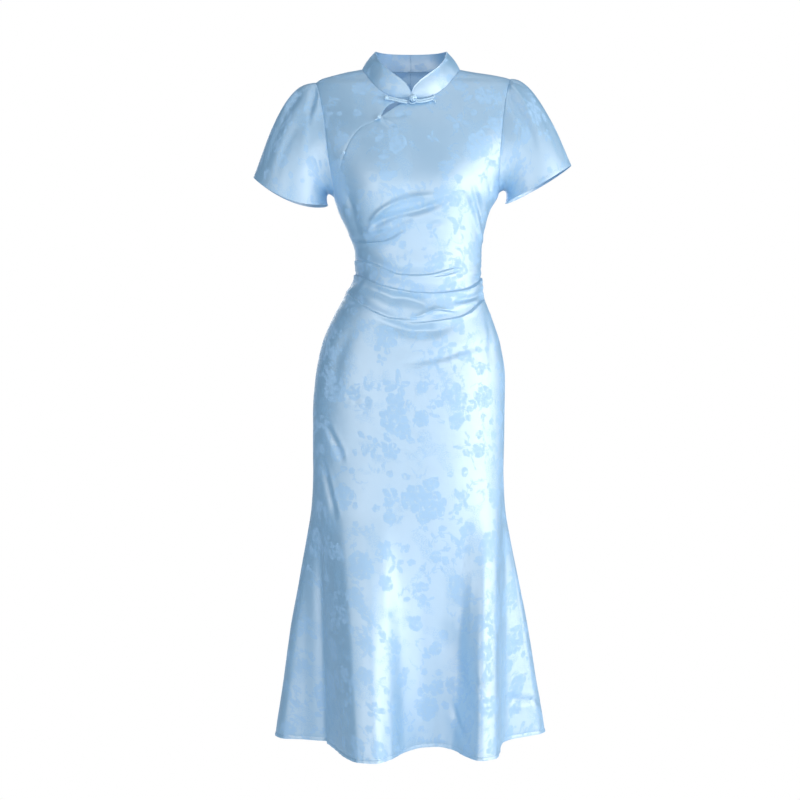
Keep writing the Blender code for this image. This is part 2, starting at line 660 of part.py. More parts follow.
def material(name, colour):
    """A cloth finish."""
    made = bpy.data.materials.new(name)
    made.use_nodes = True
    shader = made.node_tree.nodes["Principled BSDF"]
    shader.inputs["Base Color"].default_value = (*colour, 1)
    shader.inputs["Roughness"].default_value = ROUGHNESS
    shader.inputs["Sheen Weight"].default_value = SHEEN
    made.diffuse_color = (*colour, 1)
    return made


def mesh_object(name, points, faces, colour):
    """An object from points and faces, with its faces turned out."""
    mesh = bpy.data.meshes.new(name)
    mesh.from_pydata([tuple(p) for p in points], [], faces)
    work = bmesh.new()
    work.from_mesh(mesh)
    bmesh.ops.triangulate(work, faces=work.faces[:])
    bmesh.ops.recalc_face_normals(work, faces=work.faces[:])
    work.to_mesh(mesh)
    work.free()
    mesh.shade_smooth()
    made = bpy.data.objects.new(name, mesh)
    made.data.materials.append(material(name, colour))
    bpy.context.scene.collection.objects.link(made)
    return made


def wall(name, outer, inner, closed=False):
    """A wall of cloth between two grids of points; a closed one goes all the way round."""
    rows, columns = outer.shape[:2]
    points = np.concatenate([outer.reshape(-1, 3), inner.reshape(-1, 3)])
    count = rows * columns
    steps = columns if closed else columns - 1
    faces = []
    for i in range(rows - 1):
        for j in range(steps):
            a, b = i * columns + j, i * columns + (j + 1) % columns
            c, d = b + columns, a + columns
            faces.append((a, b, c, d))
            faces.append((count + d, count + c, count + b, count + a))
    ends = [(0, 1), (rows - 1, -1)]
    for row, way in ends:
        for j in range(steps):
            a, b = row * columns + j, row * columns + (j + 1) % columns
            rim = (b, a, count + a, count + b)
            faces.append(rim if way > 0 else rim[::-1])
    if not closed:
        for j, way in ((0, 1), (columns - 1, -1)):
            for i in range(rows - 1):
                a, b = i * columns + j, (i + 1) * columns + j
                rim = (a, b, count + b, count + a)
                faces.append(rim if way > 0 else rim[::-1])
    return mesh_object(name, points, faces, SATIN_BLUE)


def panel(name, sheet):
    """A panel of the body: a sheet given a wall's thickness and trimmed at its seams."""
    angle, z, triangles = sheet
    outer, inner, out = cloth(angle, z)
    a, b, c = np.array(triangles).T
    facing = np.sum(np.cross(outer[b] - outer[a], outer[c] - outer[a]) * out[a], axis=1)
    triangles = [t if way > 0 else t[::-1] for t, way in zip(triangles, facing)]
    edges = border(triangles)
    outer, inner = trimmed(outer, inner, out, edges, z < HEM_Z + 1e-6)
    count = len(outer)
    faces = list(triangles) + [tuple(count + i for i in triangle[::-1]) for triangle in triangles]
    faces += [(b, a, count + a, count + b) for a, b in edges]
    return mesh_object(name, np.concatenate([outer, inner]), faces, SATIN_BLUE)


def make_front():
    """The main front, with the placket as its edge on the wearer's right."""
    low = low_grid(np.linspace(-np.pi / 2, np.pi / 2, FRONT_COLUMNS + 1))
    neck = neck_front(LEFT, NECK_FRONT_STEPS)
    middle = (0.0, NECK_FRONT[0].z)
    row = low[0][-1], low[1][-1]
    outline = joined(
        row,
        armhole(LEFT, FACE_FRONT),
        flipped(shoulder(LEFT)),
        flipped(neck),
        flipped(placket(KEYHOLE_FRONT, middle)),
    )
    outline = outline[0][:-1], outline[1][:-1]
    high = filled(outline, FACE_FRONT, UPPER_SPACING)
    return panel("front", welded(low, high, FRONT_COLUMNS + 1))


def make_yoke():
    """The wearer's right upper front, with a short end on the side seam."""
    neck = neck_front(RIGHT, NECK_FRONT_STEPS)
    tip_x = -NECK_SIDE_X * np.sin(np.pi / 2 / NECK_FRONT_STEPS)
    outline = joined(
        placket(KEYHOLE_YOKE, (tip_x, neck[1][1])),
        (neck[0][1:], neck[1][1:]),
        shoulder(RIGHT),
        flipped(armhole(RIGHT, FACE_FRONT)),
    )
    return panel("front_yoke", filled(outline, FACE_FRONT, UPPER_SPACING))


def make_back(name, side):
    """One half of the back, from the side seam to the centre back seam."""
    low = low_grid(side * np.linspace(np.pi / 2, np.pi, BACK_COLUMNS + 1))
    row = low[0][-1], low[1][-1]
    centre_z = np.linspace(row[1][-1], NECK_BACK_Z, ARMHOLE_STEPS + 1)
    outline = joined(
        row,
        (np.full(ARMHOLE_STEPS + 1, side * np.pi), centre_z),
        flipped(neck_back(side, NECK_BACK_STEPS)),
        shoulder(side),
        flipped(armhole(side, FACE_BACK)),
    )
    if side == LEFT:
        outline = outline[0][:-1], outline[1][:-1]
    high = filled(outline, FACE_BACK, UPPER_SPACING)
    panel(name, welded(low, high, BACK_COLUMNS + 1))


def sleeve_edge(side):
    """The armhole all round, from the shoulder tip down the front and up the back."""
    front, back = armhole(side, FACE_FRONT), armhole(side, FACE_BACK)
    angle = np.concatenate([front[0][::-1], back[0][1:-1]])
    z = np.concatenate([front[1][::-1], back[1][1:-1]])
    outer, inner, out = cloth(angle, z)
    run = np.roll(outer, -1, axis=0) - np.roll(outer, 1, axis=0)
    along = unit(np.cross(out, run)) * (1 if side == LEFT else -1)
    return outer, inner, out, along


def halved(ring):
    """A ring of points with one more in the middle of each step."""
    middle = (ring + np.roll(ring, -1, axis=0)) / 2
    return np.stack([ring, middle], axis=1).reshape(-1, ring.shape[1])


def by_turn(turn, top, side, under):
    """A value that changes from the top of the sleeve to its side and its underside."""
    at_top, at_under = np.maximum(np.cos(turn), 0) ** 2, np.maximum(-np.cos(turn), 0) ** 2
    return (top * at_top + under * at_under + side * (1 - at_top - at_under))[:, None]


def gather_height(side, turn, down):
    """How far the gathers move the points of a sleeve out."""
    total = np.zeros(np.broadcast(turn, down).shape)
    for gather in GATHERS[side]:
        start = np.array([np.radians(gather.turn_top) * CAP_RADIUS, gather.down_top * SLEEVE_LENGTH])
        end = np.array([np.radians(gather.turn_low) * CAP_RADIUS, gather.down_low * SLEEVE_LENGTH])
        run = end - start
        x, y = turn * CAP_RADIUS - start[0], down * SLEEVE_LENGTH - start[1]
        t = np.clip((x * run[0] + y * run[1]) / (run @ run), 0, 1)
        distance = np.hypot(x - t * run[0], y - t * run[1])
        total += gather.depth * (1 - t**2) * np.exp(-((distance / gather.width) ** 2))
    return total * np.clip(down / CAP_FADE, 0, 1) * np.clip((1 - down) / CUFF_FADE, 0, 1)


def cuff(side, turn):
    """The edge of the cuff: a tilted oval whose hem dips at the front and back."""
    sleeve = SLEEVES[side]
    outer, inner = np.array(sleeve.outer), np.array(sleeve.inner)
    middle, half = (outer + inner) / 2, (outer - inner) / 2
    flat = middle + np.outer(np.cos(turn), half)
    dip = np.where(np.sin(turn) > 0, sleeve.dip_front, sleeve.dip_back) * np.sin(turn) ** 2
    return np.stack([flat[:, 0], -sleeve.depth * np.sin(turn), flat[:, 1] - dip], axis=-1)


def make_sleeve(name, side):
    """A sleeve from the armhole's seam over its puffed cap to the cuff."""
    outer, inner, out, along = (halved(ring) for ring in sleeve_edge(side))
    count = len(outer)
    turn = np.linspace(0, 2 * np.pi, count, endpoint=False)
    start, arrive = SLEEVE_START[side], SLEEVE_ARRIVE[side]
    leave = along * by_turn(turn, start.along_top, start.along_side, start.along_under)
    leave = leave + out * by_turn(turn, start.out_top, start.out_side, start.out_under)
    end = cuff(side, turn)
    back = np.zeros_like(end)
    back[:, 0] = -side * by_turn(turn, arrive.top_in, arrive.side_in, -arrive.under_out)[:, 0]
    back[:, 2] = by_turn(turn, arrive.top_up, arrive.side_up, arrive.under_up)[:, 0]
    down = np.linspace(0, 1, SLEEVE_STEPS + 1)[:, None, None] ** SLEEVE_ROW_SPREAD
    shell = (1 - down) ** 3 * outer + 3 * down * (1 - down) ** 2 * (outer + leave)
    shell = shell + 3 * down**2 * (1 - down) * (end + back) + down**3 * end
    around_it = np.roll(shell, -1, axis=1) - np.roll(shell, 1, axis=1)
    normal = unit(np.cross(np.gradient(shell, axis=0), around_it)) * -side
    normal[0] = unit(outer - inner)
    signed_turn = (turn + np.pi) % (2 * np.pi) - np.pi
    shell = shell + normal * gather_height(side, signed_turn[None], down[..., 0])[..., None]
    inside = shell - WALL * normal
    inside[0] = inner
    shift = along * SEAM_GAP
    shell[0] += shift
    inside[0] += shift
    wall(name, shell, inside, closed=True)


def collar_top(points, steps):
    """Points along the collar's upper edge, spread by length."""
    route = np.array(points)
    length = np.concatenate([[0], np.cumsum(np.linalg.norm(np.diff(route, axis=0), axis=1))])
    along = np.linspace(0, length[-1], steps + 1)
    return np.stack([smooth(length, route[:, i])(along) for i in range(3)], axis=-1)


def make_collar(name, side):
    """Half of the standing collar, from the rounded front corner to the centre back."""
    edge = joined(neck_front(side, NECK_FRONT_STEPS), neck_back(side, NECK_BACK_STEPS))
    outer, inner, out = cloth(*edge)
    run = unit(np.gradient(outer, axis=0))
    up = unit(np.cross(out, run)) * side
    top = [collar_top(COLLAR_FRONT, NECK_FRONT_STEPS), collar_top(COLLAR_BACK, NECK_BACK_STEPS)[1:]]
    top = np.concatenate(top)
    top[:, 0] *= side
    level = np.array(COLLAR_LEVELS)[:, None, None]
    shell = outer + (top - outer) * level
    normal = np.cross(np.gradient(shell, axis=1), np.gradient(shell, axis=0)) * side
    normal[:, [0, -1], 0] = 0
    normal = unit(normal)
    shell = shell + normal * (COLLAR_BULGE * np.sin(np.pi * level))
    inside = shell - WALL * normal
    inside[0] = inner
    shell[0] += up * SEAM_GAP / 2
    inside[0] += up * SEAM_GAP / 2
    shift = np.zeros_like(shell)
    shift[:, [0, -1], 0] = side * SEAM_GAP / 2
    return wall(name, shell + shift, inside + shift)


def laid(points, out, pieces):
    """Points moved straight in towards the pieces until they lie one small gap from them."""
    trees = [BVHTree.FromObject(piece, bpy.context.evaluated_depsgraph_get()) for piece in pieces]
    for _ in range(LAY_ROUNDS):
        nearest = min(tree.find_nearest(Vector(point))[3] for tree in trees for point in points)
        points = points - out * (nearest - LAY_GAP)
    return points


def cord(name, path, widths, pieces):
    """A double cord laid on the front: a flattened rope that swells at its ends."""
    places = np.array(path)
    key = np.linspace(0, 1, len(places))
    steps = np.linspace(0, 1, CORD_STEPS + 1)
    x, z = smooth(key, places[:, 0])(steps), smooth(key, places[:, 1])(steps)
    ends = np.sqrt(np.clip(1 - (2 * steps - 1) ** END_ROUND, END_SHARE, 1))
    width = smooth(key, widths)(steps) * ends
    height = CORD * (CORD_THIN + (1 - CORD_THIN) * width / max(widths)) * ends
    surface, out = front_place(x, z)
    line = surface + out * (height[:, None] + LAY_START)
    run = unit(np.gradient(line, axis=0))
    across = unit(np.cross(out, run))
    turn = np.linspace(0, 2 * np.pi, CORD_SIDES, endpoint=False)
    wide = across[:, None] * (width[:, None] * np.cos(turn))[..., None]
    high = out[:, None] * (height[:, None] * np.sin(turn))[..., None]
    points = (line[:, None] + wide + high).reshape(-1, 3)
    faces = [tuple(range(CORD_SIDES))]
    for i in range(CORD_STEPS):
        for j in range(CORD_SIDES):
            a, b = i * CORD_SIDES + j, i * CORD_SIDES + (j + 1) % CORD_SIDES
            faces.append((a, b, b + CORD_SIDES, a + CORD_SIDES))
    faces.append(tuple(range(len(points) - 1, len(points) - 1 - CORD_SIDES, -1)))
    mesh_object(name, laid(points, unit(out.mean(axis=0)), pieces), faces, CORD_BLUE)


def button(name, place, radius, pieces):
    """A small knot button that lies on the front."""
    surface, out = front_place(*place)
    work = bmesh.new()
    bmesh.ops.create_uvsphere(work, u_segments=10, v_segments=6, radius=radius)
    corners = np.array([v.co[:] for v in work.verts])
    faces = [tuple(v.index for v in face.verts) for face in work.faces]
    work.free()
    points = corners + surface + out * (radius + LAY_START)
    mesh_object(name, laid(points, out, pieces), faces, CORD_BLUE)


def clear_scene():
    """Removes whatever the scene holds before the dress is made."""
    for old in list(bpy.data.objects):
        bpy.data.objects.remove(old, do_unlink=True)


def make_dress():
    clear_scene()
    front = make_front()
    yoke = make_yoke()
    make_back("back_right", RIGHT)
    make_back("back_left", LEFT)
    make_sleeve("sleeve_right", RIGHT)
    make_sleeve("sleeve_left", LEFT)
    collar_right = make_collar("collar_right", RIGHT)
    collar_left = make_collar("collar_left", LEFT)
    under = [front, yoke, collar_right, collar_left]
    cord("frog_loop", LOOP_PATH, LOOP_WIDTHS, under)
    cord("frog_knot", ARM_PATH, ARM_WIDTHS, under)
    button("keyhole_button", KEYHOLE_BUTTON, KEYHOLE_BUTTON_RADIUS, under)
    button("placket_button", PLACKET_BUTTON, PLACKET_BUTTON_RADIUS, under)


make_dress()
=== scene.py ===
# %% [markdown]
# # A fishtail dress in light blue jacquard satin
# The real dress is sewn from shaped satin panels, with a standing collar, a corded frog, a keyhole,
# a curved placket, gathered sleeve caps and a waist pleated into both side seams. It is filled out
# as if worn, with nobody in it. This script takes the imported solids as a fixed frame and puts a
# finer piece of cloth in the place of each one.

# %% Load the frame
import json
import math
from collections import namedtuple

import bmesh
import bpy
import numpy as np
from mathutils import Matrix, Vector, noise
from mathutils.geometry import delaunay_2d_cdt
from mathutils.kdtree import KDTree

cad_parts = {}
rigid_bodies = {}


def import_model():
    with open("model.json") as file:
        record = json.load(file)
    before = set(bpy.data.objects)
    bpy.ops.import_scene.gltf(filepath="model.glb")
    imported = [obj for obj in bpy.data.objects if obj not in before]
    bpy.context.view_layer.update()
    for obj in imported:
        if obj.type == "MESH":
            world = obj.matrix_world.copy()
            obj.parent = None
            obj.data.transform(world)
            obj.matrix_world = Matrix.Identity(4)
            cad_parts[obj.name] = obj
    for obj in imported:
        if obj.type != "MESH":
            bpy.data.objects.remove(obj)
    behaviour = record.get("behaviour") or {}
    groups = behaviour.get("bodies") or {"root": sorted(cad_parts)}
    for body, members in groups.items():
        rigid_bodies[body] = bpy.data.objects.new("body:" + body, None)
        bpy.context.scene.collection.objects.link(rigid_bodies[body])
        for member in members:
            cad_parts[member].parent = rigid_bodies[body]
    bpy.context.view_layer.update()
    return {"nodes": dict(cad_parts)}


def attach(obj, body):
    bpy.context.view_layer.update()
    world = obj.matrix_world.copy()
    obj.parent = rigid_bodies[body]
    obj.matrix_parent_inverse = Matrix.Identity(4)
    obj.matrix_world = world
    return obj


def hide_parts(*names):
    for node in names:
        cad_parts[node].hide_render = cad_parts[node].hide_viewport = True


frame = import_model()
print("nodes in the frame:", sorted(frame["nodes"]))

# %% [markdown]
# ## The camera
# The photo looks straight at the dress from the front, a little to the wearer's right and level with
# the hips. One camera with a fixed lens gives that view. A level hem shows lower where it is nearer,
# so how much lower the front flutes show than the sides gives the camera's distance.

# %% Place the camera
SENSOR = 36.0
LENS = 72.5
CAMERA_PLACE = (-0.0198, -2.9, -0.59)

lens = bpy.data.cameras.new("camera")
lens.sensor_width = SENSOR
lens.lens = LENS
camera = bpy.data.objects.new("camera", lens)
camera.location = CAMERA_PLACE
camera.rotation_euler = (math.pi / 2, 0, 0)
bpy.context.scene.collection.objects.link(camera)
bpy.context.scene.camera = camera
bpy.context.scene.view_settings.view_transform = "Standard"
print("camera at", CAMERA_PLACE, "metres")

# %% [markdown]
# ## Light and floor
# A white studio: a big soft light from the wearer's left, which gives satin its bright bands, weaker
# ones from the front and the other side, and a tiny one inside the neck, so that the collar's inner
# face shows. Area lights are the simplest soft boxes, and large ones keep each highlight soft. The
# floor and the room are white to the camera alone, and pale blue in what the cloth reflects.

# %% Light the studio
FLOOR_Z = -1.42
FLOOR_HALF = 6.0
FLOOR_TONE = (0.66, 0.78, 0.88, 1)
FLOOR_ROUGH = 0.9
WORLD_TONE = (0.60, 0.80, 0.96, 1)
WORLD_STRENGTH = 0.31
BACKGROUND = (1, 1, 1, 1)

SoftBox = namedtuple("SoftBox", "name place aim wide high power")
SOFT_BOXES = [
    SoftBox("key_light", (2.35, -1.80, -0.45), (0.02, 0, -0.62), 2.0, 2.6, 56),
    SoftBox("front_light", (0.45, -3.50, -0.75), (0.02, 0, -0.70), 1.8, 2.0, 24),
    SoftBox("fill_light", (-1.70, -2.80, -0.20), (0, 0, -0.60), 1.4, 2.2, 29),
    SoftBox("top_light", (0.30, -0.80, 2.20), (0, 0, -0.20), 1.6, 1.6, 10),
    SoftBox("neck_light", (0, -0.02, -0.10), (0, 0.08, 0.01), 0.06, 0.04, 0.034),
    SoftBox("rim_light_left", (2.50, -0.10, -0.60), (0.15, 0, -0.65), 0.9, 2.4, 19),
    SoftBox("back_light", (-0.90, 2.90, 0.60), (0, 0, -0.60), 1.6, 2.2, 50),
]
LIGHT_TONE = (1.0, 0.965, 0.92)
NECK_TONE = (0.62, 0.82, 1.0)


def soft_box(box):
    """An area light that points at a place."""
    light = bpy.data.lights.new(box.name, "AREA")
    light.shape = "RECTANGLE"
    light.size = box.wide
    light.size_y = box.high
    light.energy = box.power
    light.color = NECK_TONE if box.name == "neck_light" else LIGHT_TONE
    made = bpy.data.objects.new(box.name, light)
    made.location = box.place
    made.rotation_euler = (Vector(box.aim) - Vector(box.place)).to_track_quat("-Z", "Y").to_euler()
    bpy.context.scene.collection.objects.link(made)


def white_to_camera(tree, reflected, white, output):
    """Joins two surfaces to an output: the camera sees the white one, and the cloth the other."""
    ray = tree.nodes.new("ShaderNodeLightPath")
    mix = tree.nodes.new("ShaderNodeMixShader")
    tree.links.new(ray.outputs["Is Camera Ray"], mix.inputs[0])
    tree.links.new(reflected.outputs[0], mix.inputs[1])
    tree.links.new(white.outputs[0], mix.inputs[2])
    tree.links.new(mix.outputs[0], output.inputs["Surface"])


def studio_world():
    """A pale room for the cloth to reflect, white where the camera looks past it."""
    world = bpy.data.worlds.new("studio")
    world.use_nodes = True
    bpy.context.scene.world = world
    tree = world.node_tree
    tree.nodes.clear()
    room = tree.nodes.new("ShaderNodeBackground")
    room.inputs["Color"].default_value = WORLD_TONE
    room.inputs["Strength"].default_value = WORLD_STRENGTH
    white = tree.nodes.new("ShaderNodeBackground")
    white.inputs["Color"].default_value = BACKGROUND
    white_to_camera(tree, room, white, tree.nodes.new("ShaderNodeOutputWorld"))


def pale_floor():
    """A wide floor that stays pale in every view."""
    corners = [(x, y, FLOOR_Z) for x, y in ((-1, -1), (1, -1), (1, 1), (-1, 1))]
    corners = [(x * FLOOR_HALF, y * FLOOR_HALF, z) for x, y, z in corners]
    mesh = bpy.data.meshes.new("floor")
    mesh.from_pydata(corners, [], [(0, 1, 2, 3)])
    made = bpy.data.objects.new("floor", mesh)
    paint = bpy.data.materials.new("floor_paint")
    paint.use_nodes = True
    tree = paint.node_tree
    shader = tree.nodes["Principled BSDF"]
    shader.inputs["Base Color"].default_value = FLOOR_TONE
    shader.inputs["Roughness"].default_value = FLOOR_ROUGH
    white_to_camera(tree, shader, tree.nodes.new("ShaderNodeEmission"), tree.nodes["Material Output"])
    mesh.materials.append(paint)
    bpy.context.scene.collection.objects.link(made)


for box in SOFT_BOXES:
    soft_box(box)
studio_world()
pale_floor()
print(len(SOFT_BOXES), "soft boxes")

# %% [markdown]
# ## The form of the dress
# The cloth lies on one smooth body: sections from hem to neck, opened below the knee to the hem's
# fluted outline. A place on it is an angle and a height. The same sections made the solids, so what
# is made here lies where they are. A smooth curve through a short table is enough for each measure.

# %% Sizes of the dress
WALL = 0.0016
SEAM_GAP = 0.00002
HEM_Z = -1.200
FLARE_Z = -0.720
HIP_Z = -0.470
WAIST_TOP_Z = -0.310
BODICE_Z = -0.22725
ARMPIT_SLOPE = 0.00975
RIGHT, LEFT = -1, 1
FACE_FRONT, FACE_BACK = -1, 1
UNDERARM_Z = {RIGHT: -0.2255, LEFT: -0.2175}
SHOULDER_TIP_X = {RIGHT: 0.171, LEFT: 0.178}
SHOULDER_LOW_Z = -0.060
NECK_SIDE_X = 0.088
NECK_SIDE_Z = 0.005
NECK_BACK_Z = 0.0135
NECK_BACK_ROUND = 0.8

Section = namedtuple("Section", "z right left front back power")
SECTIONS = [
    Section(*row)
    for row in (
        (-1.2500, 0.1760, 0.1660, 0.104, 0.112, 2.20), (-0.7200, 0.1760, 0.1660, 0.103, 0.115, 2.30),
        (-0.6200, 0.1765, 0.1680, 0.104, 0.124, 2.30), (-0.5500, 0.1720, 0.1690, 0.103, 0.124, 2.30),
        (-0.4900, 0.1600, 0.1605, 0.099, 0.115, 2.30), (-0.4400, 0.1395, 0.1440, 0.094, 0.102, 2.30),
        (-0.4000, 0.1175, 0.1305, 0.090, 0.092, 2.25), (-0.3650, 0.1020, 0.1275, 0.087, 0.085, 2.20),
        (-0.3300, 0.1010, 0.1265, 0.087, 0.085, 2.20), (-0.2900, 0.1130, 0.1310, 0.092, 0.090, 2.25),
        (-0.2500, 0.1310, 0.1420, 0.097, 0.096, 2.30), (-0.2255, 0.1385, 0.1560, 0.098, 0.099, 2.30),
        (-0.2175, 0.1405, 0.1585, 0.098, 0.100, 2.30), (-0.1800, 0.1570, 0.1780, 0.094, 0.101, 2.30),
        (-0.1200, 0.1780, 0.2000, 0.080, 0.099, 2.30), (-0.0600, 0.1820, 0.2030, 0.051, 0.090, 2.30),
        (-0.0250, 0.1760, 0.1960, 0.033, 0.081, 2.30), (-0.0140, 0.1640, 0.1820, 0.023, 0.077, 2.30),
        (-0.0060, 0.1380, 0.1480, 0.017, 0.074, 2.30), (-0.0010, 0.1180, 0.1180, 0.012, 0.071, 2.30),
        (0.0050, 0.0880, 0.0880, 0.007, 0.068, 2.30), (0.0135, 0.0720, 0.0720, 0.004, 0.060, 2.30),
        (0.0400, 0.0300, 0.0300, 0.002, 0.020, 2.30),
    )
]
BUST_X = 0.070
BUST_Z = -0.205
BUST_WIDTH = 0.055
BUST_HEIGHT = 0.060
BUST_SHARE = 0.10

Flare = namedtuple("Flare", "z share")
FLARES = [
    Flare(*row)
    for row in (
        (-1.20, 1.000), (-1.10, 0.785), (-1.00, 0.585), (-0.90, 0.335),
        (-0.84, 0.185), (-0.78, 0.050), (FLARE_Z, 0.0),
    )
]
Flute = namedtuple("Flute", "turn x y lift")
HEM = [
    Flute(*row)
    for row in (
        (-180, 0.000, 0.190, 0.000), (-167, -0.040, 0.158, 0.003), (-158, -0.064, 0.150, 0.004),
        (-148, -0.094, 0.183, 0.000), (-138, -0.132, 0.190, 0.000), (-128, -0.163, 0.163, 0.000),
        (-118, -0.180, 0.118, 0.003), (-110, -0.203, 0.094, 0.005), (-101, -0.238, 0.078, 0.002),
        (-95, -0.248, 0.040, 0.000), (-90, -0.2305, 0.002, 0.000), (-81, -0.192, -0.004, 0.000),
        (-72, -0.156, -0.022, 0.000), (-61, -0.134, -0.085, 0.000), (-50, -0.1135, -0.152, 0.000),
        (-40, -0.090, -0.192, 0.000), (-28, -0.062, -0.200, 0.000), (-16, -0.036, -0.178, 0.002),
        (-5, -0.012, -0.130, 0.004), (8, 0.020, -0.104, 0.007), (20, 0.046, -0.099, 0.007),
        (32, 0.072, -0.110, 0.004), (42, 0.092, -0.148, 0.001), (52, 0.116, -0.178, 0.000),
        (62, 0.143, -0.160, 0.000), (70, 0.153, -0.112, 0.000), (77, 0.160, -0.045, 0.000),
        (83, 0.176, -0.008, 0.000), (87, 0.204, 0.008, 0.002), (92, 0.236, 0.030, 0.003),
        (98, 0.247, 0.062, 0.002), (106, 0.222, 0.090, 0.004), (116, 0.180, 0.112, 0.003),
        (127, 0.162, 0.160, 0.000), (138, 0.130, 0.192, 0.000), (148, 0.092, 0.186, 0.000),
        (158, 0.062, 0.152, 0.004), (167, 0.039, 0.160, 0.003),
    )
]
print(len(SECTIONS), "sections and", len(HEM), "points round the hem")

# %% Curves through tables


def smooth(xs, ys):
    """A smooth curve through the points of a table, with no overshoot between them."""
    xs = np.asarray(xs, float)
    ys = np.asarray(ys, float)
    step = np.diff(xs)
    slope = np.diff(ys) / step
    tangent = np.zeros(len(xs))
    same_way = slope[:-1] * slope[1:] > 0
    before, after = slope[:-1][same_way], slope[1:][same_way]
    tangent[1:-1][same_way] = 2 * before * after / (before + after)
    tangent[0], tangent[-1] = slope[0], slope[-1]

    def at(x):
        x = np.clip(x, xs[0], xs[-1])
        i = np.clip(np.searchsorted(xs, x, side="right") - 1, 0, len(step) - 1)
        t = (x - xs[i]) / step[i]
        start = (1 + 2 * t) * (1 - t) ** 2 * ys[i] + t * (1 - t) ** 2 * step[i] * tangent[i]
        end = t * t * (3 - 2 * t) * ys[i + 1] + t * t * (t - 1) * step[i] * tangent[i + 1]
        return start + end

    return at


def column(table, along, name):
    """One named column of a table as a smooth curve along another column."""
    fields = table[0]._fields
    rows = sorted(table, key=lambda row: row[fields.index(along)])
    return smooth([row[fields.index(along)] for row in rows], [row[fields.index(name)] for row in rows])


def lengths_along(line):
    """The length of a line, from its start to each of its points."""
    return np.concatenate([[0], np.cumsum(np.linalg.norm(np.diff(line, axis=0), axis=1))])


def rounded(route, steps):
    """A smooth line through a few places, spread by length."""
    route = np.asarray(route, float)
    length = lengths_along(route)
    along = np.linspace(0, length[-1], steps + 1)
    return np.stack([smooth(length, values)(along) for values in route.T], axis=-1)


def around(name):
    """One column of the hem's table as a closed curve round the body, by angle."""
    index = Flute._fields.index(name)
    turns = [flute.turn + lap for lap in (-360, 0, 360) for flute in HEM]
    return smooth(np.radians(turns), [flute[index] for _ in range(3) for flute in HEM])


def unit(vectors):
    """Vectors made one metre long."""
    return vectors / np.maximum(np.linalg.norm(vectors, axis=-1, keepdims=True), 1e-12)


print("half the neck's width at 5 mm:", float(column(SECTIONS, "z", "right")(0.005)), "metres")

# %% The smooth body
RIGHT_HALF = column(SECTIONS, "z", "right")
LEFT_HALF = column(SECTIONS, "z", "left")
HALVES = {RIGHT: RIGHT_HALF, LEFT: LEFT_HALF}
FRONT_DEPTH = column(SECTIONS, "z", "front")
BACK_DEPTH = column(SECTIONS, "z", "back")
POWER = column(SECTIONS, "z", "power")
FLARE = column(FLARES, "z", "share")
HEM_X, HEM_Y, HEM_LIFT = around("x"), around("y"), around("lift")
SMALL_TURN, SMALL_RISE = 2e-3, 4e-4


def plain_body(angle, z):
    """The body without its bust, its flare and its creases."""
    sine, cosine = np.sin(angle), np.cos(angle)
    half = np.where(sine > 0, LEFT_HALF(z), RIGHT_HALF(z))
    depth = np.where(cosine > 0, FRONT_DEPTH(z), BACK_DEPTH(z))
    power = 2 / POWER(z)
    x = half * np.sign(sine) * np.abs(sine) ** power
    return np.stack([x, -depth * np.sign(cosine) * np.abs(cosine) ** power, z], axis=-1)


def body(angle, z):
    """The point of the body at an angle and a height, without its creases."""
    angle, z = np.broadcast_arrays(np.asarray(angle, float), np.asarray(z, float))
    x, y, _ = np.moveaxis(plain_body(angle, z), -1, 0)
    mound = np.exp(-(((np.abs(x) - BUST_X) / BUST_WIDTH) ** 2) - ((z - BUST_Z) / BUST_HEIGHT) ** 2)
    y = y * np.where(np.cos(angle) > 0, 1 + BUST_SHARE * mound, 1)
    share = FLARE(z)
    x = x + (HEM_X(angle) - x) * share
    y = y + (HEM_Y(angle) - y) * share
    return np.stack([x, y, z + HEM_LIFT(angle) * share], axis=-1)


def outward(angle, z):
    """The direction straight out of the body."""
    along = body(angle + SMALL_TURN, z) - body(angle - SMALL_TURN, z)
    up = body(angle, z + SMALL_RISE) - body(angle, z - SMALL_RISE)
    return unit(np.cross(along, up))


def angle_at(side, face, x, z):
    """The angle of the place that lies x out to one side, at a height, on one face."""
    half = np.where(side > 0, LEFT_HALF(z), RIGHT_HALF(z))
    turn = np.arcsin(np.clip(np.abs(x) / half, 0, 1) ** (POWER(z) / 2))
    return side * np.where(face == FACE_FRONT, turn, np.pi - turn)


print("half the waist:", round(float(RIGHT_HALF(-0.345)), 3), "metres")
